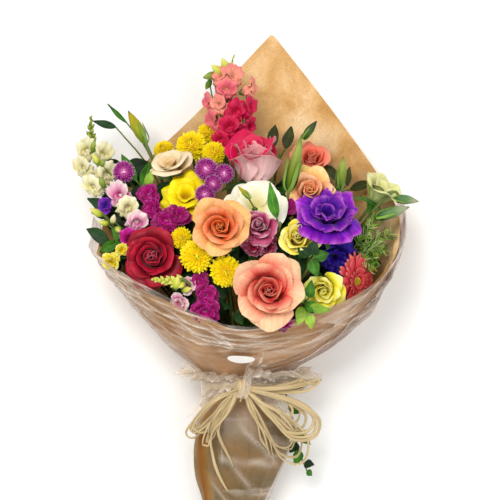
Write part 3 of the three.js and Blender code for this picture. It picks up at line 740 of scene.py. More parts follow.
add_petal(
    "pale_green", "84A04C 0.45 C4C87C 0.8 E4E0A0 1 ECE8B4",
    back="B8C488", streaks=0.25, soft=0.3,
)
add_petal(
    "lemon", "C4B030 0.45 ECD850 0.8 F8E870 1 FCF2A0",
    heart=("E6CC40", 0.05, 0.7), back="F0E07C", edge=("FAF2AC", 0.88), streaks=0.15,
)
add_petal(
    "lime", "B0A828 0.45 E6D848 0.8 F4E868 1 FAF298",
    heart=("D2C434", 0.05, 0.7), back="F0E67C", edge=("FAF4A8", 0.9), streaks=0.15,
)
add_petal(
    "yellow", "F4C400 0.5 FFE000 1 FFEC28",
    heart=("F4CC00", 0.0, 0.2), back="FFE410", streaks=0.08,
)
add_petal(
    "cream", "E4D898 0.4 F4ECC8 0.8 FAF4DE 1 FCF7E8",
    heart=("F0E4B0", 0.0, 0.5), back="F6F0D8", streaks=0.08, soft=0.3,
)
add_petal(
    "peach_cream", "D8BC80 0.4 ECD2A8 1 F0DEC0",
    heart=("E4C090", 0.0, 0.5), back="E8D2AC", streaks=0.1, soft=0.3,
)
add_petal(
    "purple", "2C0880 0.4 4C0CA0 0.72 6C18B4 0.92 9C3CBC 1 BC68CC",
    heart=("420890", 0.1, 0.8), back="6420BC", edge=("C070CC", 0.86), streaks=0.45,
)
add_petal("navy", "140850 0.5 22107C 1 3820A0", back="2A1488", edge=("4028B0", 0.88), streaks=0.4)
add_petal(
    "magenta", "ECA4C8 0.25 B41C7C 0.6 8C084C 1 A4146C",
    heart=("C03088", 0.0, 0.4), back="C8489C", edge=("DC68B8", 0.86), streaks=0.5,
)
add_petal(
    "bract", "6C1C5C 0.4 9C3488 0.7 C868B0 1 FAD8E8",
    heart=("D868B4", 0.0, 0.35), back="84287C", streaks=0.4,
)
add_petal(
    "snap_crimson", "F0B080 0.3 DC5068 0.7 C02048 1 CC3050",
    back="E0607C", edge=("DC4468", 0.9),
)
add_petal(
    "snap_blush", "F4DC98 0.3 F2B49C 0.7 F0A090 1 EC8C8C",
    back="F4B8A0", edge=("F0A49C", 0.88),
)
add_petal(
    "snap_rose", "F4C094 0.3 EC9494 0.7 E07480 1 E88C8C",
    back="F0A49C", edge=("F09C94", 0.86),
)
add_petal(
    "snap_white", "B0AC50 0.4 DAD09C 0.8 E4DCB6 1 EEE8CE",
    back="DCD8AC", streaks=0.12, soft=0.3,
)
add_petal(
    "snap_pink", "E8D8A8 0.25 C03C80 0.5 DC88B0 0.8 ECC4CC 1 F2DED8",
    back="ECC0CC", edge=("F4E6DC", 0.84),
)
add_petal("gerbera", "CC3C44 0.4 E45860 0.85 EE7478 1 F4988C", back="F49C90", streaks=0.3)
add_petal("bud_green", "4C7020 0.4 7C8C38 0.8 9CAC5C 1 707C34", back="7C9440", streaks=0.3)
add_petal("bud_grey", "3C6438 0.5 688858 0.85 A8AC8C 1 6C7860", back="587848", streaks=0.3)
add_petal("bud_olive", "5C7C24 0.5 98982C 0.85 B0A03C 1 6C6434", back="6C8030", streaks=0.3)
add_petal("bud_dark", "3C5A24 0.6 44542A 1 242E18", back="3C5024", streaks=0.3)
add_petal("bud_pale", "8CA83C 0.5 C8CC60 1 E2DE8C", back="B4C058", streaks=0.2)
add_petal("bud_knob", "345C1C 0.6 5C842C 1 8CA040", back="446C24", streaks=0.2)
add_petal("stamen", "B89820 0.6 E4CC3C 1 F0E478", streaks=0.2)
add_petal("mum_heart", "5C7818 0.6 A0A020 1 D0B820", streaks=0.2)


# ---- camera ---------------------------------------------------------------------------------

camera = bpy.data.objects.new("camera", bpy.data.cameras.new("camera"))
bpy.context.scene.collection.objects.link(camera)
camera.location = (0, 0, CAMERA_HEIGHT)
camera.data.sensor_width = SENSOR_MM
camera.data.lens = SENSOR_MM * CAMERA_HEIGHT / FRAME_WIDTH
bpy.context.scene.camera = camera


# ---- raffia ---------------------------------------------------------------------------------

# The bow's bundles: each CAD piece, its strands' sizes against the route and sideways shifts in
# millimetres, and a route in metres through it.
BOW = (
    (
        "raffia_loops_left",
        ((1.0, -2), (0.95, 3), (1.04, 1), (0.86, 7), (0.9, -5)),
        ((-0.015, -0.147, 0.080), (-0.034, -0.155, 0.079), (-0.049, -0.169, 0.072),
         (-0.063, -0.189, 0.062), (-0.055, -0.193, 0.063), (-0.040, -0.178, 0.070),
         (-0.025, -0.158, 0.079), (-0.012, -0.149, 0.080)),
    ),
    (
        "raffia_loops_left",
        ((1.0, 1), (0.94, -3), (1.06, 4), (0.8, 0), (0.9, 7)),
        ((-0.014, -0.148, 0.081), (-0.027, -0.161, 0.081), (-0.039, -0.181, 0.076),
         (-0.044, -0.200, 0.071), (-0.035, -0.181, 0.076), (-0.023, -0.162, 0.081),
         (-0.011, -0.150, 0.081)),
    ),
    (
        "raffia_loop_right_high",
        ((1.0, 1), (0.88, -3), (0.94, 4), (0.74, 0), (0.97, -1), (0.82, 6)),
        ((-0.003, -0.143, 0.082), (0.026, -0.145, 0.079), (0.052, -0.140, 0.072),
         (0.075, -0.135, 0.066), (0.059, -0.146, 0.067), (0.031, -0.149, 0.074),
         (0.000, -0.147, 0.080)),
    ),
    (
        "raffia_loops_right",
        ((1.0, 2), (0.94, -3), (0.87, 4), (1.04, -2), (0.78, 0), (0.97, 6), (0.9, -6), (0.7, 3)),
        ((-0.002, -0.145, 0.083), (0.028, -0.152, 0.080), (0.052, -0.161, 0.072),
         (0.070, -0.176, 0.063), (0.065, -0.193, 0.060), (0.044, -0.194, 0.064),
         (0.025, -0.176, 0.072), (0.008, -0.156, 0.079), (-0.004, -0.147, 0.081)),
    ),
    (
        "raffia_loops_right",
        ((1.0, 0), (0.92, 4), (1.05, -4), (0.84, -1)),
        ((-0.003, -0.147, 0.083), (0.012, -0.160, 0.080), (0.035, -0.171, 0.074),
         (0.055, -0.195, 0.063), (0.050, -0.217, 0.058), (0.031, -0.212, 0.063),
         (0.017, -0.186, 0.072), (0.004, -0.162, 0.079), (-0.005, -0.149, 0.081)),
    ),
    (
        "raffia_tails_right",
        ((1.0, -4), (0.96, 1), (0.9, 6)),
        ((-0.006, -0.148, 0.082), (0.003, -0.169, 0.079), (0.014, -0.192, 0.072),
         (0.024, -0.216, 0.065)),
    ),
    (
        "raffia_tail_left",
        ((1.0, 1), (0.78, -3)),
        ((-0.014, -0.149, 0.083), (-0.025, -0.171, 0.081), (-0.039, -0.194, 0.075),
         (-0.039, -0.218, 0.069), (-0.022, -0.252, 0.063)),
    ),
)


def strand_route(route, size, shift, name):
    """One strand's own line: the bundle's route, sized about the knot and moved sideways."""
    share = np.linspace(0, 1, STRAND_POINTS)
    points = KNOT + (spline(route, share) - KNOT) * size
    along = np.gradient(points, axis=0)
    side = np.cross(along, (0, 0, 1))
    side /= np.linalg.norm(side, axis=1, keepdims=True)
    loose_end = route[-1][1] < KNOT[1] - HANGING
    swing = np.sin(math.pi / 2 * share) if loose_end else np.sin(math.pi * share)
    rng = seeded(name)
    wobble = STRAND_WOBBLE * np.sin(share * rng.uniform(7, 13) + rng.uniform(0, 6))
    lift = STRAND_LIFT * np.sin(math.pi * share) * rng.uniform(-0.5, 1.0)
    points += side * (shift * MM * swing * 0.5 + wobble * swing)[:, None]
    points[:, 2] += lift
    return points


for bundle, (node, strands, route) in enumerate(BOW, 1):
    hanging = "tail" in node
    share = np.linspace(0, 1, STRAND_POINTS)
    taper = 1 - 0.45 * ramp(share, 0.8, 1.0) if hanging else 1
    for number, (size, shift) in enumerate(strands, 1):
        name = f"{node}_{bundle}_strand_{number}"
        points = strand_route(route, size, shift, name)
        piece = Piece(name, "raffia", node)
        piece.tube(
            points,
            STRAND_WIDTH / 2 * taper,
            RAFFIA,
            sides=10,
            flatten=STRAND_THICKNESS / STRAND_WIDTH,
            twist=seeded(name).uniform(-4, 4),
            vary=seeded(name).uniform(0, 1),
        )
        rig.cord(
            piece.finish(),
            exit=points[0],
            length=float(np.linalg.norm(np.diff(points, axis=0), axis=1).sum()),
            diameter=STRAND_WIDTH * 0.85,
            far_end="bare" if hanging else "object",
            stiffness="limp",
            lay="hanging" if hanging else "loose",
            path=points,
        )


# ---- the wrapper ----------------------------------------------------------------------------

RING_POINTS = 12
CORNER = 9  # the paper's left corner: the rim is sharp there and at the peak

# The rim from the peak round by the right side, the front and the left corner; the belly of the
# cone; and the sleeve's rings as y, x, half width, lift, middle and half height.
RIM = (
    (24, 234, 0), (86, 154, 3), (140, 74, 40), (156, 31, 76), (142, -18, 104), (96, -54, 130),
    (8, -81, 142), (-46, -71, 140), (-112, -38, 124), (-160, -5, 94), (-140, 61, 42), (-49, 156, 3),
)
BELLY = (
    (9, 0, 0), (54, -5, 0), (102, -27, 22), (118, -53, 50), (99, -83, 80), (52, -105, 98),
    (0, -111, 104), (-43, -105, 102), (-85, -88, 90), (-115, -65, 62), (-91, -27, 18), (-38, -2, 0),
)
SLEEVE = (
    (-300, -19, 30, 0, 24, 27),
    (-262, -17, 34, 0, 26, 30),
    (-205, -10, 52, 0, 28, 33),
    (-141, -8, 36, 6, 28, 31),
)

# How deep the paper's pleats, dents and folds are, and its creases on the collar and sleeve.
PLEATS, DENTS, FOLDS, COLLAR_CREASES, SLEEVE_CREASES = 0.0042, 0.0016, 0.0018, 0.0030, 0.0026
PAPER_THICKNESS = 0.0003
# The sheets' flat sizes.
PAPER_SHEET, WRAP_SHEET, LINER_SHEET = (0.44, 0.42), (0.40, 0.30), (0.26, 0.24)
# The paper goes once round and laps over itself, from a seam that climbs the front to the right.
SEAM_TURN = (0.47, 0.37)  # at the tie and at the rim
LAP, LAP_LIFT = 0.05, 0.0012  # the lap's share of a turn, and how far its upper layer lifts
STRIP_TURN, STRIP_WIDTH = 0.668, 0.042  # a brown strip on the paper's left, below the tie
FILM_GAP, FLAP_GAP, LINER_GAP = 0.0030, 0.0058, -0.0022  # outside the paper
CRUSH, LINER_CRUSH = 0.0022, -0.0008  # the height of the film's own creases
PLEAT_TURN, PLEAT_WIDTH = 0.489, 0.007  # a pleat that stands up from the knot, with painted highlights along its edges
SWIRL = (0.545, 0.885)  # a swirl of painted highlight lines beside the sticker: its turn and reach
HIGHLIGHT_BAND_REACH, HIGHLIGHT_BAND_SLOPE, HIGHLIGHT_BAND_WIDTH = 0.345, 0.12, 0.011  # a painted highlight band across the sleeve, where a broad fold would catch the light
RUFFLE_TURNS = (0.22, 0.78), (0.30, 0.70)  # the turns that ruffles span above and below the tie
# Each ruffle: its way along the wrapper, its reach, its spread to the right and to the left,
# where it starts, and how far it rises to come down over the raffia's turns.
RUFFLES = (
    (1, 0.060, 0.018, 0.010, -0.006, 0),
    (1, 0.048, 0.014, 0.014, -0.006, 0),
    (1, 0.034, 0.012, 0.008, -0.006, 0),
    (-1, 0.190, 0.014, 0.014, 0.035, 0.0056),
    (-1, 0.110, 0.014, 0.010, -0.006, 0),
)
RUFFLE_GAP = 0.0034
BAND_GAP, BAND_WAVE = 0.0040, 0.0007  # the raffia's turns outside the paper
END_LIFT = 0.006  # the raffia's short ends lie over the knot
BINDING_STEP, BINDING_RADIUS = 0.0018, 0.0010


def sleeve_ring(y, x, half_width, lift, middle, half_height):
    angle = np.arange(RING_POINTS) / RING_POINTS * FULL_TURN
    height = lift + np.maximum(0, middle - half_height * np.cos(angle))
    return np.stack([x + half_width * np.sin(angle), np.full(RING_POINTS, y), height], -1)


RINGS = np.array([sleeve_ring(*ring) for ring in SLEEVE] + [BELLY, RIM], float) * MM


def wrapper_surface(turns, reaches):
    """Points of the paper's outer face. turns runs round it, 0 at the back and 0.5 at the front;
    reaches runs from the lower end (0) to the rim (1), and straight on past the rim."""
    turns, reaches = np.broadcast_arrays(turns, reaches)
    share = np.mod(turns.ravel(), 1)
    split = CORNER / RING_POINTS
    rings = RINGS.transpose(1, 0, 2)
    front = spline(rings[: CORNER + 1], share / split)
    back = spline(np.concatenate([rings[CORNER:], rings[:1]]), (share - split) / (1 - split))
    lines = np.where((share <= split)[:, None, None], front, back).transpose(1, 0, 2)
    padded = np.concatenate([2 * lines[:1] - lines[1:2], lines, 2 * lines[-1:] - lines[-2:-1]])
    scaled = np.clip(reaches.ravel(), 0, 1) * (len(lines) - 1)
    index = np.minimum(scaled.astype(int), len(lines) - 2)
    each = np.arange(len(share))
    a, b, c, d = (padded[index + k, each] for k in range(4))
    points = between(a, b, c, d, (scaled - index)[:, None])
    end_slope = (3 * lines[-1] - 4 * lines[-2] + lines[-3]) / 2 * (len(lines) - 1)
    points += np.maximum(reaches.ravel() - 1, 0)[:, None] * end_slope
    points[:, 2] = np.maximum(points[:, 2], 0)
    return points.reshape(turns.shape + (3,))


def outward(turns, reaches):
    """Unit normals of the wrapper's outer face."""
    step = 0.004
    inner = np.minimum(reaches, 1)
    around = wrapper_surface(turns + step, reaches) - wrapper_surface(turns - step, reaches)
    upper = wrapper_surface(turns, np.minimum(inner + step, 1))
    return crossed(upper - wrapper_surface(turns, inner - step), around)


def off_paper(turns, reaches, distance):
    """Points at a distance outside the paper's smooth face."""
    away = outward(turns, reaches) * np.asarray(distance)[..., None]
    return wrapper_surface(turns, reaches) + away


def above_floor(points, gap):
    """The points, with those under a gap above the floor raised to it."""
    points[..., 2] = np.maximum(points[..., 2], gap)
    return points


def rim_creases(turns, reaches, seed, count=7):
    """Long narrow creases beside the collar's rim: their height, about -1..1, and masks, 0..1, for
    a painted highlight on their crests and painted shade in their troughs."""
    rng = seeded(seed)
    x, y = turns * 2.3, reaches
    height, crest_highlight, trough_shade = 0, 0, 0
    for number in range(count):
        slope, tight, phase = rng.uniform(-0.3, 0.3), rng.uniform(26, 60), rng.uniform(0, 9)
        place = tight * (y + slope * x + 0.010 * np.sin(8 * x + phase)) + phase
        away = np.abs(np.mod(place, 2) - 1)
        patch = ramp(ripple(x, y * 4, f"{seed}_patch{number}", 3), -0.2, 0.4)
        height = height + patch * (1 - 2 * away) * 30 / tight
        crest_highlight = np.maximum(crest_highlight, patch * (1 - away) ** 8)
        trough_shade = np.maximum(trough_shade, patch * away**7)
    return height / count**0.5, crest_highlight, trough_shade


def gathers(turns, reaches):
    """How far the paper is pushed in or out, in metres, and how sharp its creases are there.

    Pleats run out of the tie and die away up the cone and down the sleeve; the rest is dents.
    """
    turns = np.mod(turns, 1)
    above = np.exp(-np.maximum(reaches - TIE_REACH, 0) / 0.10)
    near = above * np.exp(-np.maximum(TIE_REACH - reaches, 0) / 0.22)
    wander = 0.02 * np.sin(9 * reaches + 5 * turns)
    pleats = creases((turns + wander) * 6, reaches * 0.6, "pleats", 5, 2.0, 4.5) - 0.5
    dents = ripple(turns * 3, reaches * 2.2, "dents", 6, 0.8, 2.2)
    folds = creases(turns * 5, reaches * 3.5, "folds", 4, 0.7, 1.6) - 0.5
    collar = ramp(reaches, 0.72, 0.84) * ramp(np.minimum(turns, 1 - turns), 0.20, 0.30)
    height, crest_highlight, _ = rim_creases(turns, reaches, "collar")
    push = PLEATS * near * pleats + DENTS * dents + FOLDS * folds * ramp(reaches, 0.5, 0.9)
    push = push + COLLAR_CREASES * collar * height
    sleeve_folds = creases(turns * 4, reaches * 5, "sleeve_folds", 3, 0.7, 1.4)
    push = push + SLEEVE_CREASES * sleeve_folds * ramp(reaches, 0.55, 0.42)
    sharp = np.clip(near * (pleats + 0.5) + 0.5 * np.maximum(folds, 0) + collar * crest_highlight, 0, 1)
    return push, sharp


def lifted(turns, reaches, distance, extra=0.0):
    """The wrapper's surface with its gathers, at a distance outside the paper, and how sharp
    its creases are; the part that lies on the floor stays flat."""
    push, sharp = gathers(turns, reaches)
    points = wrapper_surface(turns, reaches)
    free = ramp(points[..., 2], 0.001, 0.02)
    total = push * free + distance + extra * np.maximum(free, 0.15)
    points = points + outward(turns, reaches) * total[..., None]
    return above_floor(points, 0.0003), sharp * free


def row_reaches(start, middle, end, below, above):
    """A sheet's rows, closer together on the collar, where the creases are."""
    lower = np.linspace(start, middle, below, endpoint=False)
    return np.concatenate([lower, np.linspace(middle, end, above)])[:, None]


def film_sheet(turns, reaches, distance, seed, crush):
    """A film with its own crushing on top of the paper's gathers: its grid, the painted highlights
    on its creases and the painted shade in its troughs."""
    collar, sleeve = ramp(reaches, 0.74, 0.90), ramp(reaches, 0.56, 0.46)
    lengthways = creases(turns * 16, reaches * 3, seed, 5, 0.8, 2.2) * (1 - 0.9 * collar)
    broad, sleeve_ridge_highlight, _ = rim_creases(turns * 0.5, reaches * 0.25, seed + "_sleeve", 3)
    height, crest_highlight, trough_shade = rim_creases(turns, reaches, seed + "_rim", 4)
    soft = ripple(turns * 6, reaches * 5, seed + "_soft", 6, 0.8, 2.0)
    fold = np.clip(lengthways, 0, 1.3) + 0.7 * (height + 0.6) * collar
    fold = fold + 0.8 * (broad + 0.6) * sleeve
    off_pleat = np.abs(turns - PLEAT_TURN) / PLEAT_WIDTH
    tall = ramp(reaches, 0.60, 0.66) * ramp(reaches, 0.85, 0.78)
    fold = fold + 1.6 * tall * bell(off_pleat)
    grid, _ = lifted(turns, reaches, distance, crush * (fold + 0.4 * soft))

    # Painted highlights: on the crushed creases, on the sleeve's ridges, on the collar's crests, along the pleat's
    # edges and in a swirl beside the sticker.
    bright = 0.5 * np.clip((lengthways - 0.7) * 4, 0, 1) ** 2 + 0.4 * sleeve * sleeve_ridge_highlight
    left = 0.5 + 0.5 * ramp(turns, 0.44, 0.54)
    bright = bright + 0.95 * left * collar * crest_highlight + 0.8 * tall * bell((off_pleat - 1.1) / 0.35)
    x, y = (turns - SWIRL[0]) * 0.60, (reaches - SWIRL[1]) * 0.26
    radius = np.hypot(x, y)
    spiral = np.abs(np.mod(radius / 0.0030 + np.arctan2(y, x) / math.pi, 2) - 1)
    bright = bright + 0.9 * (1 - spiral) ** 2 * ramp(radius, 0.010, 0.006)
    # Broad folded panels are painted side by side on the collar, most of all to the right: each grows lighter across
    # it, a painted highlight, with painted shade where it begins.
    uneven = ripple(turns * 4, reaches * 3, seed + "_panel", 4)
    panel = np.mod(6 * turns + 2.6 * reaches + 0.3 * uneven, 1)
    rim = (0.3 + 0.7 * ramp(0.46 - turns, 0, 0.08)) * ramp(reaches, 0.74, 0.84)
    bright = bright + 0.62 * panel**2.5 * rim
    # A painted highlight band lies across the sleeve, where a broad fold would catch the light.
    off_band = (reaches - HIGHLIGHT_BAND_REACH - HIGHLIGHT_BAND_SLOPE * (turns - 0.5) - 0.006 * soft) / HIGHLIGHT_BAND_WIDTH
    band = bell(off_band) * ramp(turns, 0.35, 0.40) * ramp(turns, 0.575, 0.555)
    bright = bright + 0.45 * band * np.clip(0.7 + 0.3 * soft, 0, 1)
    # It is painted greyer and paler where it bunches up under the tie.
    bunched = bell((reaches - 0.475) / 0.05) * ramp(turns, 0.40, 0.45)
    bright = bright + 0.25 * bunched * ramp(turns, 0.60, 0.55)
    return grid, bright, collar * trough_shade + 0.6 * (1 - panel) ** 3 * rim


reaches = row_reaches(0, 0.7, 1, 52, 84)
share = np.linspace(0, 1, 210)[None, :]
seam = SEAM_TURN[0] + (SEAM_TURN[1] - SEAM_TURN[0]) * ramp(reaches, 0.55, 1.0)
turns = seam + (1 + LAP) * (share - 1)
grid, sharp = lifted(turns, reaches, LAP_LIFT * ramp(share, 1 - 2 * LAP, 1 - LAP))
under_tie = ramp(reaches, 0.60, 0.42)
strip = bell((np.mod(turns, 1) - STRIP_TURN - 0.06 * (0.3 - reaches)) / STRIP_WIDTH)
look = {"vary": under_tie[::-1], "along": (under_tie * strip)[::-1], "across": sharp[::-1]}
paper = Piece("kraft_sheet", "kraft_paper", "kraft_paper")
paper.plate(grid[::-1], PAPER_THICKNESS, KRAFT, **look)
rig.sheet(paper.finish(), flat=PAPER_SHEET, held="gathered", rests_on=["stem_binding"])

reaches = row_reaches(0.03, 0.7, 1.035, 70, 100)
narrower = ramp(reaches, 0.57, 0.48)
left_edge, right_edge = 19 / 24 - 0.185 * narrower, 5 / 24 + 0.09 * narrower
turns = right_edge + (left_edge - right_edge) * np.linspace(0, 1, 250)[None, :]
wrap = Piece("film_wrap_sheet", "clear_film", "film_wrap")
# Its paint carries the painted highlights on its creases and, as deep, the painted shade in its troughs.
grid, bright, deep = film_sheet(turns, reaches, FILM_GAP, "wrap", CRUSH)
wrap.film(grid, WRAP_FILM, bright, deep)

# The film's free end laps over the front right: its edge climbs from the knot to the rim.
share, across = np.linspace(0, 1, 90)[:, None], np.linspace(0, 1, 64)[None, :]
edge_turn = 0.505 - 0.185 * share**0.8
turns = edge_turn - across * (edge_turn - 0.24)
reaches = 0.615 + 0.40 * share + 0 * across
grid, bright, deep = film_sheet(turns, reaches, FLAP_GAP, "flap", CRUSH)
# The flap's cut edge is painted as a bright highlight line.
wrap.film(grid, WRAP_FILM, np.maximum(bright, 1 - across * 45), deep)

# Where the film is gathered under the raffia it springs out in crumpled ruffles on both sides.
for layer, (way, length, spread_right, spread_left, start, rise) in enumerate(RUFFLES):
    first, last = RUFFLE_TURNS[way < 0]
    turns, out = np.linspace(first, last, 200)[None, :], np.linspace(0, 1, 16)[:, None]
    spread = np.where(turns < 0.5, spread_right, spread_left)
    crumple = creases(turns * 22, out * 2.0, f"ruffle{layer}", 5, 0.9, 2.4)
    wave = ripple(turns * 30, out * 2.0, f"ruffle_wave{layer}", 6, 0.6, 1.4)
    flare = np.clip(np.abs(turns - 0.51) / 0.2, 0.25, 1)
    fade = ramp(np.minimum(turns - first, last - turns), 0, 0.05)
    to_right = ramp(0.5 - turns, 0, 0.03)
    beside_knot = to_right * ramp(turns, 0.34, 0.42)
    length = length * fade * (flare if way < 0 else 1.25 + 0.9 * beside_knot)
    reaches = TIE_REACH + way * (length * out * (1 + 0.25 * wave) - start)
    low = RUFFLE_GAP + rise * np.sin(np.clip(out * 3, 0, 1.6))
    distance = out * flare * (spread + 0.012 * wave) + 0.005 * out**0.5 * (crumple - 0.4)
    distance = np.maximum(low + fade * distance, low * 0.8)
    points = above_floor(off_paper(turns, reaches, distance), 0.001)
    # Painted highlights on the crumples' ridges, and a painted paler veil on the ruffles right of the knot.
    painted_light_right = 0.45 * to_right if way > 0 else 0
    wrap.film(points, RUFFLE_FILM, (crumple - 0.65) * 3 + painted_light_right)

# One tuft of it comes down over the knot.
share, across = np.linspace(0, 1, 40)[:, None], np.linspace(-1, 1, 44)[None, :]
half_turn = np.interp(share, (0, 0.5, 0.75, 1), (0.006, 0.014, 0.016, 0.026))
turns = PLEAT_TURN + 0.014 * share + across * half_turn
reaches = 0.74 - 0.165 * share + 0.01 * np.sin(across * 5) * share
crumple = creases(across * 2.2, share * 1.2, "tuft", 5, 0.8, 2.0)
distance = np.interp(share, (0, 0.3, 0.55, 0.85, 1), (0.006, 0.010, 0.028, 0.031, 0.024))
distance = distance * (1 - 0.2 * across**2) + 0.003 * (crumple - 0.3)
# Painted highlights on the tuft's crumples, paler towards its lower end.
bright = np.maximum(0.1 + 0.4 * share + (crumple - 0.7), 0.05)
wrap.film(off_paper(turns, reaches, distance), RUFFLE_FILM, bright)
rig.sheet(wrap.finish(), flat=WRAP_SHEET, held="gathered", rests_on=["kraft_sheet"])

turns = np.linspace(-5 / 24, 5 / 24, 90)[None, :]
top = 0.985 - 0.125 * ramp(0.085 - np.abs(turns), 0, 0.06)
reaches = 0.72 + (top - 0.72) * np.linspace(0, 1, 50)[:, None]
grid, bright, _ = film_sheet(turns, reaches, LINER_GAP, "liner", LINER_CRUSH)
liner = Piece("film_liner_sheet", "clear_film", "film_liner")
# A faint share of the painted crease highlights.
liner.film(above_floor(grid, 0.0016), LINER_FILM, 0.25 * np.clip(bright, 0, 1))
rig.sheet(liner.finish(), flat=LINER_SHEET, held="gathered", rests_on=["kraft_sheet"])


# ---- the raffia's turns and knot, the sticker and the stems' binding ------------------------

band = Piece("raffia_band_turns", "raffia", "raffia_band")
turns = np.linspace(0, 1, 100)
for number, shift in enumerate(np.linspace(-0.011, 0.011, 6)):
    rng = seeded(f"band{number}")
    reaches = TIE_REACH + shift + 0.003 * np.sin(FULL_TURN * turns + rng.uniform(0, 6))
    height = BAND_GAP + BAND_WAVE * np.sin(2 * FULL_TURN * turns + rng.uniform(0, 6))
    points = off_paper(turns, reaches, height)
    band.tube(points, STRAND_WIDTH * 0.55, RAFFIA, flatten=0.5, vary=rng.uniform(0, 1))
band.finish()

knot = Piece("raffia_knot_turns", "raffia", "raffia_knot")
turn = np.linspace(0, FULL_TURN, 28)[:, None]
for number in range(8):
    rng = seeded(f"knot{number}")
    pole = unit((1.0, rng.uniform(-0.9, 0.9), rng.uniform(-0.5, 0.5)))
    across, upward, _ = head_axes(pole)
    radius = rng.uniform(0.0052, 0.0078)
    middle = KNOT + pole * rng.uniform(-0.005, 0.005)
    loop = middle + radius * (np.cos(turn) * across + 1.1 * np.sin(turn) * upward)
    knot.tube(loop, STRAND_WIDTH * 0.6, RAFFIA, flatten=0.6, vary=rng.uniform(0, 1))
for degrees, reach in ((200, 16), (235, 20), (262, 15), (300, 19), (338, 14)):
    angle = math.radians(degrees)
    aim = np.array((math.cos(angle), math.sin(angle), -0.12))
    points = [KNOT + aim * reach * share * MM for share in (0, 0.5, 1)]
    end = spline(points, np.linspace(0, 1, 10)) + (0, 0, END_LIFT)
    knot.tube(end, np.linspace(0.0016, 0.0009, 10), RAFFIA, flatten=0.5)
knot.finish()

# The sticker is a blank oval that follows the collar.
STICKER_PLACE, STICKER_HALF = (0.518, 0.822), (0.024, 0.026)  # as turns and reaches
STICKER_GAP, STICKER_THICKNESS = 0.0062, 0.0003
u, v = np.linspace(-1, 1, 25)[None, :], np.linspace(-1, 1, 17)[:, None]
turns = STICKER_PLACE[0] + STICKER_HALF[0] * u * np.sqrt(1 - v * v / 2)
reaches = STICKER_PLACE[1] + STICKER_HALF[1] * v * np.sqrt(1 - u * u / 2)
sticker = Piece("plain_sticker_oval", "sticker", "plain_sticker")
sticker.plate(off_paper(turns, reaches, STICKER_GAP), STICKER_THICKNESS, sticker_material())
sticker.finish()

binding = Piece("stem_binding_turns", "binding", "stem_binding")
binding_box = np.array([tuple(v.co) for v in frame["nodes"]["stem_binding"].data.vertices])
middle = (binding_box.min(0) + binding_box.max(0)) / 2
radius = (binding_box.max(0) - binding_box.min(0))[0] / 2
angle = np.linspace(0, FULL_TURN, 60)
for number in range(5):
    level = np.full(60, middle[1] + (number - 2) * BINDING_STEP)
    x, z = middle[0] + radius * np.cos(angle), middle[2] + radius * np.sin(angle)
    ring = np.stack([x, level, z], -1)
    binding.tube(ring, BINDING_RADIUS, RAFFIA, sides=6, vary=number / 5)
binding.finish()


# ---- blooms and leaves ----------------------------------------------------------------------


def keys(value, *pairs):
    """A value between tabled ones; each pair is (place, value), and values may be tuples."""
    places = [place for place, _ in pairs]
    values = np.array([np.atleast_1d(v) for _, v in pairs], float)
    found = [np.interp(value, places, column) for column in values.T]
    return found[0] if len(found) == 1 else np.array(found)


def petal(size, azimuth, lean, length, width, base, rows=9, columns=7, **how):
    """A petal as a grid in its head's own frame, and how far along it each point is.

    size is the head's radius, and the other lengths are shares of it. lean holds the angle above
    the head's plane, in degrees, at even places from base to tip; base is the (radius, height)
    of the petal's foot. how may set rounding (how much shorter the sides are) and blunt (how
    near the sides that begins), waist (the foot's width against the blade's), wrap (1 follows
    the circle round the head's axis, 0 is flat), tuck (one side under its neighbour), ruffle as
    (depth, waves, phase), frill as (depth, waves) near the rim only, curl (how many degrees
    more the sides roll back) and point.
    """
    v = np.linspace(0, 1, rows)[:, None]
    u = np.linspace(-1, 1, columns)[None, :]
    reach = 1 - how.get("rounding", 0.35) * np.abs(u) ** how.get("blunt", 2.4)
    reach = reach + how.get("point", 0.0) * bell(u / 0.3)
    s = v * reach
    angle = np.radians(np.interp(s, np.linspace(0, 1, len(lean)), lean))
    angle = angle - np.radians(how.get("curl", 0.0)) * np.abs(u) ** 2 * ramp(s, 0.35, 0.85)
    step = length * size * reach / (rows - 1)
    middle = (angle[1:] + angle[:-1]) / 2
    still = np.zeros((1, columns))
    out = base[0] * size + np.concatenate([still, np.cumsum(np.cos(middle) * step, 0)])
    up = base[1] * size + np.concatenate([still, np.cumsum(np.sin(middle) * step, 0)])
    waist = how.get("waist", 0.3)
    half = width * size * (waist + (1 - waist) * np.sin(np.clip(s / 0.72, 0, 1) * math.pi / 2))
    depth, waves, phase = how.get("ruffle", (0, 1, 0))
    frill, frills = how.get("frill", (0, 1))
    wave = depth * size * np.sin(waves * u * math.pi + phase) * s**2.5
    wave = wave + frill * size * np.sin(frills * u * math.pi + 2 * phase) * s**6
    out = out - np.sin(angle) * wave + how.get("tuck", 0.0) * size * u
    up = up + np.cos(angle) * wave
    side = u * half
    wrap = how.get("wrap", 1.0)
    if wrap > 0.01:
        bend = np.maximum(out, 0.35 * width * size) / wrap
        turn = np.clip(side / bend, -2.9, 2.9)
        out = out - bend * (1 - np.cos(turn))
        side = bend * np.sin(turn)
    c, sn = math.cos(azimuth), math.sin(azimuth)
    return np.stack([out * c - side * sn, out * sn + side * c, up + 0 * side], -1), s


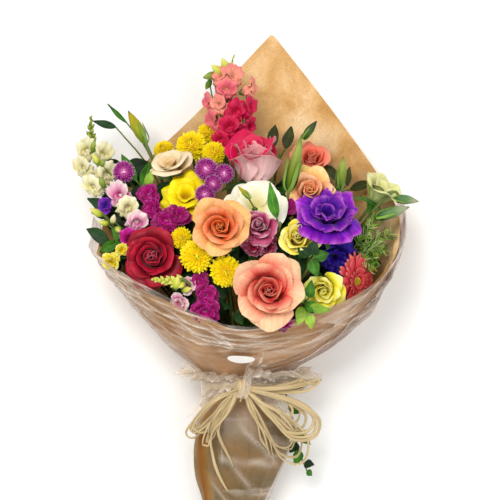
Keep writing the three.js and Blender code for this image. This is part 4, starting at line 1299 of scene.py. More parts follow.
class Head:
    """One bloom of a piece: its place, the way it faces, its size and its own randomness."""

    def __init__(self, piece, name, centre, facing, size):
        self.piece, self.centre, self.size = piece, np.array(centre) * MM, size * MM
        self.rng = seeded(name)
        self.axes = head_axes(facing, self.rng.uniform(0, FULL_TURN))
        self.drift = self.rng.uniform(-0.07, 0.07, 2)  # the heart is never quite in the middle

    def place(self, grid):
        return kept_inside(self.centre + grid @ self.axes)

    def petal(self, material, *shape, ring=0.0, thick=PETAL_THICKNESS, **how):
        grid, s = petal(self.size, *shape, **how)
        grid[..., :2] += self.drift * self.size * (1 - ring)
        vary = self.rng.uniform(0, 1)
        self.piece.plate(self.place(grid), thick, material, ring, vary, along=np.clip(s, 0, 1))

    def sleeve(self, grid, material, ring=0.0, vary=0.5):
        self.piece.sleeve(self.place(np.array(grid) * self.size), material, ring, vary)

    def jitter(self, spread):
        return self.rng.uniform(-spread, spread)

    def about(self, value, share):
        """The value, give or take a random part of that share."""
        return value * (1 + self.jitter(share))

    def ruffle(self, depth, waves, spread):
        """A petal's ruffle, with its waves a little off and their phase at random."""
        return depth, waves + self.jitter(spread), self.rng.uniform(0, 6)


def rose(head, material, count=30, openness=1.0, point=0.05, ruffle=0.02, curl=60):
    """A garden rose: a wide spiral heart of upright petals inside a few reflexed outer ones."""
    for i in range(count):
        t = i / (count - 1)
        lean = keys(
            t * openness,
            (0.0, (84, 96, 99, 97, 88)),
            (0.3, (74, 92, 92, 90, 66)),
            (0.6, (58, 84, 86, 76, 30)),
            (0.8, (36, 72, 70, 44, -20)),
            (1.0, (10, 50, 46, 10, -65)),
        )
        foot = keys(t, (0, 0.02), (0.3, 0.13), (0.6, 0.25), (0.8, 0.26), (1, 0.16))
        head.petal(
            material,
            i * GOLDEN_ANGLE + head.jitter(0.3),
            lean + head.jitter(2 + 7 * t),
            head.about(keys(t, (0, 0.88), (0.5, 0.94), (0.8, 1.0), (1, 1.12)), 0.07),
            head.about(keys(t, (0, 0.18), (0.5, 0.38), (0.8, 0.52), (1, 0.68)), 0.1),
            (foot, keys(t, (0, -0.40), (1, -0.44))),
            ruffle=head.ruffle(ruffle * (0.4 + t), 1.5, 0.6),
            wrap=keys(t, (0, 1), (0.5, 0.95), (1, 0.5)),
            point=point * t,
            curl=curl * t**0.7,
            ring=t, rows=13, columns=11, rounding=0.32, tuck=0.06,
        )
    calyx(head)


def calyx(head, drop=-0.44):
    """The green cup and sepals under a bloom."""
    for i in range(5):
        sepal = i * FULL_TURN / 5, (-10, -5, -20, -40), 0.75, 0.13, (0.05, drop - 0.06)
        head.petal(LEAF, *sepal, rounding=0.6, waist=0.9, wrap=0.5, thick=SEPAL_THICKNESS)
    cup = ((-0.32, 0.02), (-0.26, 0.12), (-0.12, 0.2), (0.0, 0.17))
    head.sleeve([circle(radius, drop + height) for height, radius in cup], LEAF)


def lisianthus(
    head, material, count=14, ruffle=0.07, openness=1, stigma=True, waves=3.2, frill=0, first=0
):
    """An open cup of broad thin petals, plain or ruffled, round a pale stigma; first is how far
    from the heart its petals begin."""
    for i in range(count):
        t = first + (1 - first) * (i + 1) / count
        lean = keys(
            t * openness,
            (0.0, (80, 90, 84, 70, 30)),
            (0.5, (40, 72, 62, 40, -5)),
            (1.0, (8, 44, 26, -4, -50)),
        )
        head.petal(
            material,
            i * GOLDEN_ANGLE + head.jitter(0.25),
            lean + head.jitter(10),
            head.about(keys(t, (0, 0.66), (0.5, 0.94), (1, 1.10)), 0.11),
            head.about(keys(t, (0, 0.34), (0.5, 0.54), (1, 0.68)), 0.1),
            (keys(t, (0, 0.05), (1, 0.12)), -0.38),
            frill=(frill, 6.5 + head.jitter(1)),
            ruffle=head.ruffle(ruffle * (0.5 + t), waves, 0.3 * waves),
            wrap=keys(t, (0, 0.9), (1, 0.5)),
            columns=25 if frill else 15,
            ring=t, rows=13, rounding=0.2, blunt=3.0, curl=15, tuck=0.02,
        )
    if stigma:
        florets(head, PETAL["stamen"], 16, 0.12, -0.05, 0.14)
    calyx(head, -0.42)


def florets(head, material, count, spread, height, size):
    """A domed cluster of tiny upright points, as in a disc or a stigma."""
    for i in range(count):
        t = math.sqrt((i + 0.5) / count)
        length = size * (0.8 + head.jitter(0.2))
        base = (spread * t, height - 0.5 * spread * t * t)
        shape = i * GOLDEN_ANGLE, (90, 85, 75, 60), length, size * 0.35, base, 4, 3
        head.petal(material, *shape, ring=t, rounding=0.5, wrap=0.3, thick=LEAF_THICKNESS)


def globe(head, material, count, core, length, width, polar, bend, heart=None, **how):
    """Petals on a ball, from its pole to the polar angle in degrees; bend turns them from
    straight out (0) towards the pole (+) or away from it (-), from their foot to their tip;
    heart is another material and the share of petals that have it."""
    lowest = math.cos(math.radians(polar))
    level = np.linspace(math.pi - 0.06, 0.06, 9)
    ball = [circle(math.sin(a), math.cos(a), 16) * core * 0.97 - (0, 0, 0.1) for a in level]
    head.sleeve(ball, material, 0.3)
    for i in range(count):
        t = (i + 0.5) / count
        angle = math.acos(1 - t * (1 - lowest))
        lean = 90 - math.degrees(angle) + keys(t, *bend) + head.jitter(9)
        head.petal(
            heart[0] if heart and t < heart[1] else material,
            i * GOLDEN_ANGLE + head.jitter(0.1),
            lean,
            head.about(keys(t, *length), 0.12),
            keys(t, *width),
            (core * math.sin(angle), core * math.cos(angle) - 0.1),
            ring=t,
            **how,
        )


def mum(head, material):
    """A button chrysanthemum: dense rows of narrow petals round a tight green-gold eye."""
    length = ((0, 0.16), (0.08, 0.26), (0.4, 0.46), (1, 0.64))
    width = ((0, 0.045), (0.15, 0.07), (1, 0.11))
    bend = ((0, (-30, -10, 10)), (0.15, (-24, -8, 6)), (0.5, (-6, 6, 16)), (1, (-8, 0, 4)))
    how = {"rows": 5, "columns": 4, "rounding": 0.3, "waist": 0.6, "wrap": 0.35}
    eye = (PETAL["mum_heart"], 0.025)
    globe(head, material, 180, 0.40, length, width, 116, bend, eye, **how)


def gomphrena(head, material):
    """A globe amaranth: a ball of papery pointed bracts."""
    length, width = ((0, 0.26), (0.3, 0.36), (1, 0.46)), ((0, 0.09), (1, 0.12))
    bend = ((0, (-55, -30, 0)), (0.2, (-20, 0, 16)), (1, (6, 18, 30)))
    how = {"rows": 4, "columns": 3, "rounding": 0.7, "blunt": 1.2, "waist": 0.8, "wrap": 0.5}
    globe(head, material, 150, 0.60, length, width, 125, bend, thick=0.0003, **how)


def gerbera(head, material):
    """Rows of ribbed straps round a disc of florets."""
    how = {"rows": 9, "columns": 6, "rounding": 0.16, "blunt": 3.0, "waist": 0.5, "wrap": 0.0}
    for count, length, lean, inset in (
        (34, 0.86, (6, 8, 0, -12), 0.16),
        (32, 0.78, (16, 14, 6, -4), 0.15),
        (24, 0.40, (34, 28, 16, 6), 0.14),
        (26, 0.20, (60, 50, 36, 20), 0.13),
    ):
        for i in range(count):
            head.petal(
                material,
                (i + head.jitter(0.25)) * FULL_TURN / count,
                np.array(lean) + head.jitter(6),
                head.about(length, 0.06),
                0.082 * length**0.5,
                (inset, -0.06 + 0.1 * (0.8 - length)),
                ring=length,
                ruffle=(0.012, 3.0, 0.5),
                **how,
            )
    florets(head, PETAL["stamen"], 60, 0.15, 0.05, 0.10)
    florets(head, PETAL["mum_heart"], 40, 0.08, 0.08, 0.07)
    calyx(head, -0.12)


def floret(head, material, count=11):
    """A small double floret of stock or carnation, crumpled and ruffled."""
    for i in range(count):
        t = i / (count - 1)
        lean = keys(t, (0, (75, 70, 55, 30)), (1, (30, 24, 6, -22)))
        head.petal(
            material,
            i * GOLDEN_ANGLE + head.jitter(0.3),
            lean + head.jitter(12),
            head.about(keys(t, (0, 0.7), (1, 1.05)), 0.1),
            keys(t, (0, 0.38), (1, 0.56)),
            (0.06, -0.22),
            ruffle=head.ruffle(0.12, 2.6, 0.8),
            ring=t, rows=8, columns=9, rounding=0.25, wrap=0.4,
        )


# A snapdragon's lips: their lobes' azimuths, lean, length, width and base.
LIPS = (
    ((0.55, -0.55), (88, 84, 62, 20, -30), 1.30, 0.72, (0.16, -0.35)),
    ((math.pi, math.pi - 1.1, math.pi + 1.1), (75, 55, 0, -60, -100), 1.10, 0.55, (0.16, -0.35)),
    ((math.pi - 0.45, math.pi + 0.45), (100, 70, -10, -70), 0.62, 0.34, (0.10, -0.16)),
)


def snapdragon(head, material):
    """A two-lipped floret: two lobes that stand back, three that hang, and a closed throat."""
    head.axes = head_axes(head.axes[2])
    for layer, (azimuths, lean, length, width, base) in enumerate(LIPS):
        for azimuth in azimuths:
            head.petal(
                material,
                math.pi / 2 + azimuth + head.jitter(0.12),
                np.array(lean) + head.jitter(9),
                head.about(length, 0.1),
                head.about(width, 0.1),
                base,
                ruffle=head.ruffle(0.13, 2.4, 0.6),
                ring=layer / 3, rows=11, columns=11, rounding=0.25, blunt=3.0, wrap=0.6, curl=30,
            )
    throat = ((-1.0, 0.12), (-0.85, 0.24), (-0.5, 0.26), (-0.1, 0.34))
    head.sleeve([circle(radius, height) for height, radius in throat], material, 0.9)
    for i in range(5):
        sepal = i * 1.257, (60, 70, 60), 0.35, 0.14, (0.12, -1.02), 5, 5
        head.petal(LEAF, *sepal, thick=LEAF_THICKNESS)


def bud(head, material, slim=0.28, sepals=4, twist=2.4):
    """A furled bud: petals wound into a spindle, with narrow sepals at its foot."""
    v = np.linspace(0, 1, 16)[:, None]
    turn = np.linspace(0, FULL_TURN, 15, endpoint=False)[None, :]
    radius = slim * np.sin(math.pi * np.clip(v, 0.01, 0.985) ** 0.8) ** 0.8
    radius = radius * (1 + 0.14 * np.abs(np.sin(1.5 * turn + twist * 2 * v)))
    angle = turn + twist * v
    level = (2 * v - 1) + 0 * turn
    grid = np.stack([radius * np.cos(angle), radius * np.sin(angle), level], -1)
    head.sleeve(grid, material, vary=head.rng.uniform(0, 1))
    for i in range(sepals):
        sepal = i * FULL_TURN / sepals, (35, 86, 92, 80), 1.2, 0.085, (slim * 0.3, -1.0), 8, 5
        head.petal(LEAF, *sepal, rounding=0.5, waist=0.9, wrap=0.8)


def bud_spike(head, material, count=15):
    """The knobbly tip of a snapdragon: small round buds up an axis, smaller to the tip."""
    for i in range(count):
        t = i / (count - 1)
        angle = i * GOLDEN_ANGLE
        out = 0.26 * (1 - t) ** 0.7
        place = np.array((out * math.cos(angle), out * math.sin(angle), 2 * t - 1)) * head.size
        small = Head(head.piece, f"bud{i}", (0, 0, 0), (math.cos(angle), math.sin(angle), 1.1), 1)
        small.centre = head.centre + place @ head.axes
        small.axes = small.axes @ head.axes
        small.size = head.size * (0.36 - 0.2 * t)
        bud(small, material, 0.5, 0, 1.0)
    stalk = head.centre + np.linspace(-1, 0.9, 8)[:, None] * head.size * head.axes[2]
    head.piece.tube(stalk, 0.07 * head.size, STEM)


def leaf(piece, base, tip, width, material, name, inside=True):
    """A pointed leaf from base to tip, in millimetres, folded along its midrib and arched."""
    rng = seeded(name)
    base, tip, width = np.array(base) * MM, np.array(tip) * MM, width * MM
    v, u = np.linspace(0, 1, 14)[:, None], np.linspace(-1, 1, 9)[None, :]
    length = np.linalg.norm(tip - base)
    forward = (tip - base) / length
    side = unit(np.cross((0, 0, 1), forward) + rng.uniform(-0.25, 0.25, 3))
    half = width / 2 * np.sin(math.pi * np.clip(v, 0.015, 1) ** 0.72) ** 0.85
    half = np.maximum(half, 0.02 * width)
    arch = 0.10 * length * np.sin(math.pi * v)
    roll = rng.uniform(-0.5, 0.5) * v
    wave = 0.02 * length * np.sin(v * rng.uniform(7, 12) + 2.5 * u) * np.abs(u)
    height = arch + 0.25 * np.abs(u) * half + roll * u * half + wave
    grid = base + v[..., None] * (tip - base) + (u * half)[..., None] * side
    grid = grid + height[..., None] * np.cross(forward, side)
    if inside:
        grid = kept_inside(grid)
    vary = rng.uniform(0, 1)
    piece.plate(grid, LEAF_THICKNESS, material, 0.5, vary, along=v, across=(u + 1) / 2)


def frond(piece, base, tip, width, name):
    """Feathery greenery: fine needles in pairs along a thin rib."""
    rng = seeded(name)
    base, tip, width = np.array(base) * MM, np.array(tip) * MM, width * MM
    forward = unit(tip - base)
    side = unit(np.cross((0, 0, 1), forward))
    length = np.linalg.norm(tip - base)
    piece.tube(np.linspace(base, tip, 8), RIB_RADIUS, STEM, sides=5)
    for i, share in enumerate(np.linspace(0.05, 1.0, 46)):
        spread = width * (1 - 0.5 * share) * rng.uniform(0.5, 1.2) * (1 if i % 2 else -1)
        foot = base + forward * length * share
        lean = forward * abs(spread) * rng.uniform(0.2, 1.8)
        end = foot + side * spread + lean + np.array((0, 0, rng.uniform(-0.4, 0.8) * width))
        bow = side * spread * rng.uniform(-0.3, 0.5)
        line = spline([foot, (foot + end) / 2 + bow, end], np.linspace(0, 1, 6))
        green = (FERN, LIME_LEAF, FERN, LEAF)[rng.integers(4)]
        piece.tube(line, NEEDLE_RADIUS, green, sides=4)


# ---- stems ----------------------------------------------------------------------------------

TIE_Y, CUT_END_Y = -141, -322
TIE_AXIS = np.array((-8, 34))  # x and z of the bundle's middle at the tie, and at its cut ends
END_AXIS = np.array((-18, 26))
BUNDLE_SPREAD = 0.0002  # how much wider the bundle grows with each millimetre below the tie
FAN_SOFTNESS = 30

# A grid of the paper's inner side, to keep petals and leaves inside it.
WALL_TURNS, WALL_GAP = 90, 0.0045
around, upward = np.linspace(0, 1, WALL_TURNS, endpoint=False), np.linspace(0.1, 0.96, 50)
around, upward = np.meshgrid(around, upward)
WALL = wrapper_surface(around, upward).reshape(-1, 3)
WALL_OUT = outward(around, upward).reshape(-1, 3)


def kept_inside(grid):
    """The grid with every point that would lie outside the paper moved back inside it."""
    points = grid.reshape(-1, 3).copy()
    squares = (points**2).sum(1)[:, None] - 2 * points @ WALL.T + (WALL**2).sum(1)[None, :]
    nearest = squares.argmin(1)
    beyond = ((points - WALL[nearest]) * WALL_OUT[nearest]).sum(1) + WALL_GAP
    free = nearest >= len(WALL) - 2 * WALL_TURNS  # beside the rim, where blooms may lean out
    points -= WALL_OUT[nearest] * np.where(free, 0, np.maximum(beyond, 0))[:, None]
    return above_floor(points, 0.002).reshape(grid.shape)


def fan(y):
    """How far the stems have spread at y, slowly at first."""
    return math.hypot(y - TIE_Y, FAN_SOFTNESS) - FAN_SOFTNESS


def stem_line(node, target, head=None):
    """A stem's line in millimetres: up through its place in the bundle, which is read from the
    CAD stem's cut end, and out to its head."""
    mesh = frame["nodes"][node].data
    points = np.empty(len(mesh.vertices) * 3)
    mesh.vertices.foreach_get("co", points)
    points = points.reshape(-1, 3) / MM
    end = points[points[:, 1] < CUT_END_Y + 1][:, (0, 2)].mean(0)
    place = (end - END_AXIS) / (1 + BUNDLE_SPREAD * (TIE_Y - CUT_END_Y))

    def below(y):
        share = (TIE_Y - y) / (TIE_Y - CUT_END_Y)
        x, z = TIE_AXIS + (END_AXIS - TIE_AXIS) * share + place * (1 + BUNDLE_SPREAD * (TIE_Y - y))
        return (x, y, z)

    def above(share):
        y = TIE_Y + (target[1] - TIE_Y) * share
        x, z = TIE_AXIS + place + (target[[0, 2]] - TIE_AXIS - place) * fan(y) / fan(target[1])
        return (x, y, z)

    route = [below(CUT_END_Y), below((CUT_END_Y + TIE_Y) / 2), below(TIE_Y)]
    route += [above(0.25), above(0.6), target]
    if head is not None:
        route.append(np.array(head) * 0.75 + target * 0.25)
    return spline(route, np.linspace(0, 1, 41))


# The makers' options.
BIG_ROSE = {"count": 30, "point": 0.09, "curl": 85, "openness": 0.93}
FLAT_ROSE = {"count": 30, "ruffle": 0.035, "point": 0}
CUPPED_ROSE = {"count": 22, "ruffle": 0.03, "openness": 0.64, "curl": 75}
RUFFLED_ROSE = {"count": 22, "ruffle": 0.10, "openness": 0.85}
POINTED_ROSE = {"count": 26, "point": 0.16, "openness": 0.9}
WHITE_CUP = {"count": 8, "stigma": False, "ruffle": 0.05, "waves": 1.5, "first": 0.35}
YELLOW_CUP = {"count": 11, "stigma": False, "ruffle": 0.08, "waves": 2.0, "first": 0.12}
SIDE_CUP = {"count": 9, "ruffle": 0.03, "waves": 1.5, "openness": 0.75}
BELL = {"count": 7, "stigma": False, "openness": 0.62, "ruffle": 0.06, "waves": 1.5}
PURPLE_CUP = {"count": 19, "stigma": False, "ruffle": 0.09, "waves": 2.0, "frill": 0.03}
ROUND_BUD, PLUMP_BUD, OVAL_BUD, LONG_BUD = ({"slim": slim} for slim in (0.5, 0.42, 0.4, 0.34))

OUT = (0, 0, 1)  # facing straight up

# Each stem: its material slot; its heads as maker, petals, centre, facing, size and any options;
# and then its leaves as material, base, tip and width.
BLOOMS = {
    "rose_coral_large": [
        "coral_petals",
        (rose, "coral", (18, -40, 150), (0, 0.1, 1), 39, BIG_ROSE),
    ],
    "rose_peach": ["peach_petals", (rose, "peach", (-30, 22, 149), (-0.05, 0.15, 1), 31, BIG_ROSE)],
    "rose_mauve": [
        "mauve_petals",
        (rose, "mauve", (9, 24, 136), (-0.1, 0.3, 1), 19, {"count": 22, "ruffle": 0.06}),
        (floret, "mauve", (3, 5, 134), (-0.3, -0.5, 1), 14, {"count": 9}),
        (floret, "mauve", (18, 4, 130), (0.5, -0.4, 1), 12, {"count": 8}),
    ],
    "rose_crimson": [
        "crimson_petals",
        (rose, "crimson", (-100, -8, 123), (-0.1, 0.05, 1), 32, FLAT_ROSE),
    ],
    "rose_pink": ["pink_petals", (rose, "pink", (5, 90, 96), (0, 0.95, 0.4), 44, CUPPED_ROSE)],
    "rose_orange": [
        "peach_petals",
        (rose, "orange", (62, 60, 105), (0, 0.2, 1.0), 28, {"count": 24, "curl": 80}),
    ],
    "rose_coral_back": [
        "coral_petals",
        (rose, "coral_back", (64, 94, 52), (0.1, 0.6, 0.8), 25, {"count": 18, "ruffle": 0.05}),
    ],
    "rose_bud_yellow": [
        "pale_yellow_petals",
        (rose, "lemon", (48, 12, 128), (-0.1, 0.3, 1), 24, RUFFLED_ROSE),
    ],
    "rose_lime": [
        "pale_yellow_petals",
        (rose, "lime", (75, -40, 124), (-0.2, -0.2, 1), 23, POINTED_ROSE),
    ],
    "lisianthus_white": [
        "cream_petals",
        (lisianthus, "cream", (5, 47, 118), (0, 0.45, 0.9), 31, WHITE_CUP),
    ],
    "lisianthus_purple": [
        "violet_petals",
        (lisianthus, "purple", (79, 36, 125), (0.05, 0.6, 0.8), 35, PURPLE_CUP),
    ],
    "lisianthus_violet": [
        "violet_petals",
        (lisianthus, "navy", (87, -7, 109), (0.1, -0.4, 1), 22, {"count": 12, "stigma": False}),
    ],
    "lisianthus_cream": [
        "cream_petals",
        (lisianthus, "peach_cream", (-82, 88, 82), (-0.2, 0.8, 0.6), 27, SIDE_CUP),
    ],
    "rose_yellow_open": [
        "yellow_petals",
        (lisianthus, "yellow", (-65, 56, 95), (-0.1, 0.45, 0.9), 29, YELLOW_CUP),
    ],
    "gerbera_coral": ["coral_petals", (gerbera, "gerbera", (109, -32, 106), (0.75, -0.1, 0.6), 29)],
    "mum_yellow_upper": [
        "yellow_petals",
        (mum, "yellow", (-54, -6, 139), OUT, 18),
        (mum, "yellow", (-71, 12, 124), (-0.4, 0, 1), 12),
    ],
    "mum_yellow_lower": ["yellow_petals", (mum, "yellow", (-25, -22, 146), (0, -0.2, 1), 17)],
    "mum_yellow_back": [
        "yellow_petals",
        (mum, "yellow", (-61, 111, 66), (0, 0.5, 0.8), 17),
        (mum, "yellow", (-38, 103, 78), (0, 0.5, 0.8), 13),
        (mum, "yellow", (-44, 125, 50), (0, 0.6, 0.8), 13),
        (mum, "yellow", (-92, 107, 44), (-0.3, 0.6, 0.7), 12),
    ],
    "gomphrena_back": [
        "magenta_petals",
        (gomphrena, "bract", (-45, 83, 106), OUT, 12.5),
        (gomphrena, "bract", (-27, 78, 106), OUT, 11),
        (gomphrena, "bract", (-38, 68, 113), OUT, 10),
        (gomphrena, "bract", (-46, 57, 114), OUT, 11),
    ],
    "gomphrena_left": ["magenta_petals", (gomphrena, "bract", (-131, 81, 90), OUT, 12)],
    "carnation_magenta": [
        "magenta_petals",
        (floret, "magenta", (40, 44, 112), OUT, 10, {"count": 14}),
    ],
    "stock_magenta_left": [
        "magenta_petals",
        (floret, "magenta", (-105, 58, 98), (-0.3, 0.3, 1), 13),
        (floret, "magenta", (-101, 42, 104), (-0.5, 0, 1), 13),
        (floret, "magenta", (-87, 30, 112), (0, 0.2, 1), 14),
        (floret, "magenta", (-72, 35, 112), (0.4, 0.3, 1), 13),
        (floret, "magenta", (-82, 15, 114), (0, -0.3, 1), 13),
    ],
    "stock_violet_low": [
        "magenta_petals",
        (floret, "magenta", (-51, -32, 132), (0.2, 0.1, 1), 11),
        (floret, "magenta", (-44, -46, 136), (0.3, -0.1, 1), 13),
        (floret, "magenta", (-46, -62, 134), (0, -0.4, 1), 16, {"count": 13}),
        (floret, "snap_pink", (-72, -54, 130), (-0.4, -0.3, 1), 12),
        (floret, "snap_pink", (-62, -36, 132), (-0.3, 0.2, 1), 10),
    ],
    "stock_violet_rim": ["magenta_petals", (floret, "magenta", (34, -73, 141), (0, -0.3, 1), 10)],
    "snapdragon_coral": [
        "pink_petals",
        (bud_spike, "bud_pale", (-19, 199, 44), (0.3, 1, 0.1), 8, {"count": 8}),
        (bud, "bud_pale", (-26, 195, 47), (-0.4, 0.9, 0.2), 9, ROUND_BUD),
        (bud, "bud_pale", (-34, 190, 48), (-0.8, 0.6, 0.2), 9, ROUND_BUD),
        (bud, "bud_green", (-42, 184, 46), (-0.8, -0.2, 0.1), 8, ROUND_BUD),
        (bud, "bud_knob", (-44, 175, 44), (-0.5, -0.9, 0), 6, ROUND_BUD),
        (snapdragon, "snap_blush", (-31, 182, 50), (-0.5, 0.5, 0.8), 13.5),
        (snapdragon, "snap_blush", (-18, 182, 52), (0.5, 0.5, 0.8), 13.5),
        (snapdragon, "snap_rose", (-24, 169, 58), (0.1, -0.2, 1), 14),
        (snapdragon, "snap_blush", (1, 170, 48), (0.9, 0.4, 0.3), 13),
        (snapdragon, "snap_rose", (-41, 154, 50), (-0.9, 0.3, 0.4), 14),
        (snapdragon, "snap_blush", (-32, 152, 60), (-0.4, 0.2, 1), 13),
        (snapdragon, "snap_crimson", (-2, 150, 54), (0.9, 0.3, 0.5), 15),
        (snapdragon, "snap_crimson", (-16, 144, 62), (0.3, 0.3, 1), 14.5),
        (snapdragon, "snap_rose", (-38, 134, 56), (-0.8, 0.1, 0.6), 14),
        (snapdragon, "snap_crimson", (-22, 128, 67), (-0.1, 0.1, 1), 15),
        (snapdragon, "snap_crimson", (-5, 129, 62), (0.9, 0, 0.5), 14),
        (snapdragon, "snap_crimson", (-30, 114, 73), (-0.4, -0.2, 0.9), 12),
        (snapdragon, "snap_crimson", (-14, 112, 73), (0.4, -0.3, 0.9), 11),
    ],
    "snapdragon_pink": [
        "mauve_petals",
        (snapdragon, "snap_pink", (-134, 57, 96), (-0.4, 0.3, 1), 16),
        (snapdragon, "snap_white", (-127, 45, 102), (0.2, 0, 1), 15),
        (snapdragon, "snap_pink", (-116, 28, 108), (0.3, -0.2, 1), 15),
        (snapdragon, "magenta", (-121, 14, 104), (-0.3, -0.3, 1), 15),
    ],
    "snapdragon_white": [
        "cream_petals",
        (bud_spike, "bud_green", (-167, 126, 62), (0, 1, -0.2), 14),
        (snapdragon, "snap_white", (-171, 104, 70), (-0.4, 0.3, 1), 14),
        (snapdragon, "snap_white", (-153, 100, 74), (0.6, 0.3, 0.8), 15),
        (snapdragon, "snap_white", (-174, 86, 76), (-0.6, 0, 0.9), 14),
        (snapdragon, "snap_white", (-150, 80, 80), (0.5, 0.1, 1), 15),
        (snapdragon, "snap_white", (-163, 66, 84), (-0.4, -0.2, 1), 15),
        (bud, "bud_green", (-163, 108, 82), (0.2, 0.9, 0.4), 7, OVAL_BUD),
        (bud, "bud_pale", (-160, 94, 88), (-0.5, 0.8, 0.5), 7, OVAL_BUD),
        (bud, "bud_green", (-153, 90, 90), (0.4, 0.7, 0.6), 6, OVAL_BUD),
        (bud, "bud_green", (-153, 70, 96), (-0.3, 0.8, 0.5), 7, OVAL_BUD),
    ],
    "snapdragon_green_tip": [
        "bright_foliage",
        (bud_spike, "bud_pale", (-84, -31, 144), (-0.9, 0.1, 0.3), 15, {"count": 22}),
        (bud, "bud_pale", (-74, -33, 144), (0.2, 0.9, 0.5), 8, ROUND_BUD),
        (bud, "bud_pale", (-64, -40, 138), (0.8, 0.2, 0.5), 6, ROUND_BUD),
    ],
    "blossom_spray_left": [
        "pale_yellow_petals",
        (floret, "lemon", (-143, -12, 102), (-0.3, -0.3, 1), 11),
        (floret, "lemon", (-131, 0, 106), (0.1, 0, 1), 8),
    ],
    "bud_spray_left": [
        "bright_foliage",
        (bud, "bud_pale", (-159, 39, 92), (-0.8, 0.5, 0.4), 8, PLUMP_BUD),
        (bud, "bud_pale", (-151, 28, 96), (-0.7, 0.1, 0.6), 7, PLUMP_BUD),
        (bud, "snap_white", (-141, 32, 98), (0.2, 0.6, 0.7), 7, PLUMP_BUD),
        (bud, "bud_pale", (-136, 21, 98), (0.3, -0.3, 0.9), 7, PLUMP_BUD),
    ],
    "lisianthus_violet_left": [
        "violet_petals",
        (floret, "purple", (-150, 46, 84), (-0.4, 0.2, 1), 10),
    ],
    "lisianthus_bud_olive": [
        "bright_foliage",
        (bud, "bud_olive", (-119, 129, 58), (-0.45, 0.85, -0.1), 20),
        (DARK_LEAF, (-141, 129, 58), (-166, 136, 56), 8),
        (LEAF, (-130, 134, 57), (-150, 154, 54), 5),
    ],
    "lisianthus_bud_tall": [
        "bright_foliage",
        (bud, "bud_green", (46, 88, 117), (0.22, 0.95, 0.1), 29, {"slim": 0.2}),
    ],
    "lisianthus_bud_dark": [
        "dark_foliage",
        (bud, "bud_dark", (63, 126, 62), (0.6, 0.8, 0), 12, LONG_BUD),
    ],
    "lisianthus_bud_pale": ["bright_foliage", (bud, "bud_green", (95, 80, 92), (0.1, 1, -0.1), 17)],
    "lisianthus_buds_right": [
        "bright_foliage",
        (bud, "bud_grey", (162, 52, 92), (1, -0.15, 0), 13, LONG_BUD),
        (bud, "bud_grey", (147, 39, 103), (0.95, 0.3, 0), 18, {"slim": 0.3}),
    ],
    "lisianthus_pale_right": [
        "pale_yellow_petals",
        (lisianthus, "pale_green", (135, 60, 80), (0.55, 0.8, 0.35), 29, BELL),
    ],
    "bud_stem_centre": [
        "bright_foliage",
        (bud, "bud_olive", (-6, 58, 149), (-0.7, 0.7, 0.1), 9, {"slim": 0.25}),
        (LEAF, (27, 33, 142), (20, 68, 151), 11),
    ],
    "leaf_sprig_left_bright": [
        "bright_foliage",
        (LEAF, (-112, 66, 86), (-104, 92, 78), 12), (LEAF, (-118, 72, 86), (-134, 100, 78), 11),
        (LIME_LEAF, (-106, 66, 94), (-102, 82, 94), 9),
    ],
    "leaf_sprig_left_dark": [
        "dark_foliage",
        (DARK_LEAF, (-140, 42, 76), (-170, 54, 70), 13),
        (DARK_LEAF, (-146, 8, 90), (-170, 22, 86), 14), (LEAF, (-138, 8, 92), (-156, -2, 92), 11),
        (LEAF, (-126, 4, 92), (-143, 22, 94), 12), (DARK_LEAF, (-122, 16, 90), (-140, 10, 96), 12),
        (DARK_LEAF, (-124, 0, 94), (-136, -8, 102), 12),
    ],
    "leaf_sprig_back": [
        "dark_foliage",
        (OLIVE_LEAF, (24, 108, 34), (27, 134, 26), 12),
        (OLIVE_LEAF, (38, 108, 34), (44, 132, 26), 12),
    ],
    "leaf_sprig_back_right": [
        "dark_foliage",
        (OLIVE_LEAF, (84, 77, 50), (74, 94, 40), 10), (OLIVE_LEAF, (92, 73, 50), (84, 90, 42), 9),
        (OLIVE_LEAF, (102, 68, 50), (106, 88, 36), 8),
        (OLIVE_LEAF, (106, 64, 50), (130, 72, 36), 10),
    ],
    "leaf_trefoil": [
        "dark_foliage",
        (DARK_LEAF, (60, -6, 140), (48, 2, 142), 13), (DARK_LEAF, (62, -5, 140), (66, 10, 142), 13),
        (LEAF, (64, -8, 140), (80, -3, 140), 13), (LEAF, (62, -10, 140), (68, -27, 144), 12),
    ],
    "leaf_sprig_bright_low": [
        "bright_foliage",
        (LIME_LEAF, (54, -52, 140), (46, -36, 150), 12), (LEAF, (56, -54, 140), (71, -62, 144), 12),
        (LIME_LEAF, (54, -58, 140), (48, -76, 144), 12),
        (LIME_LEAF, (50, -40, 142), (40, -26, 150), 9), (LEAF, (60, -48, 142), (62, -30, 152), 11),
        (LIME_LEAF, (60, -58, 142), (82, -60, 148), 10),
        (LIME_LEAF, (58, -62, 140), (62, -80, 142), 11),
    ],
    "fern_right": [
        "bright_foliage",
        (DARK_LEAF, (112, 0, 88), (132, 12, 78), 13),
        (DARK_LEAF, (114, -6, 90), (136, -14, 84), 12), (LEAF, (110, 6, 88), (122, 26, 78), 11),
    ],
    "leaf_sprig_centre": [
        "dark_foliage",
        (DARK_LEAF, (-2, -10, 112), (-14, -13, 124), 13),
        (DARK_LEAF, (32, 26, 108), (46, 28, 118), 13),
        (DARK_LEAF, (28, -6, 112), (38, -5, 122), 13),
    ],
    "leaf_sprig_low": [
        "dark_foliage",
        (DARK_LEAF, (-24, -54, 116), (-26, -60, 132), 15),
        (DARK_LEAF, (-12, -62, 116), (-8, -76, 132), 13),
    ],
}
# The fern's feathery fronds, as base, tip and width.
FRONDS = (
    ((108, 4, 100), (130, 32, 94), 10),
    ((114, 2, 98), (146, 18, 88), 10),
    ((112, -2, 100), (140, 0, 94), 10),
    ((110, -6, 100), (130, -18, 98), 8),
)
FORKS = {"bud_stem_centre": (31, 28, 134)}  # stems that fork below their first head
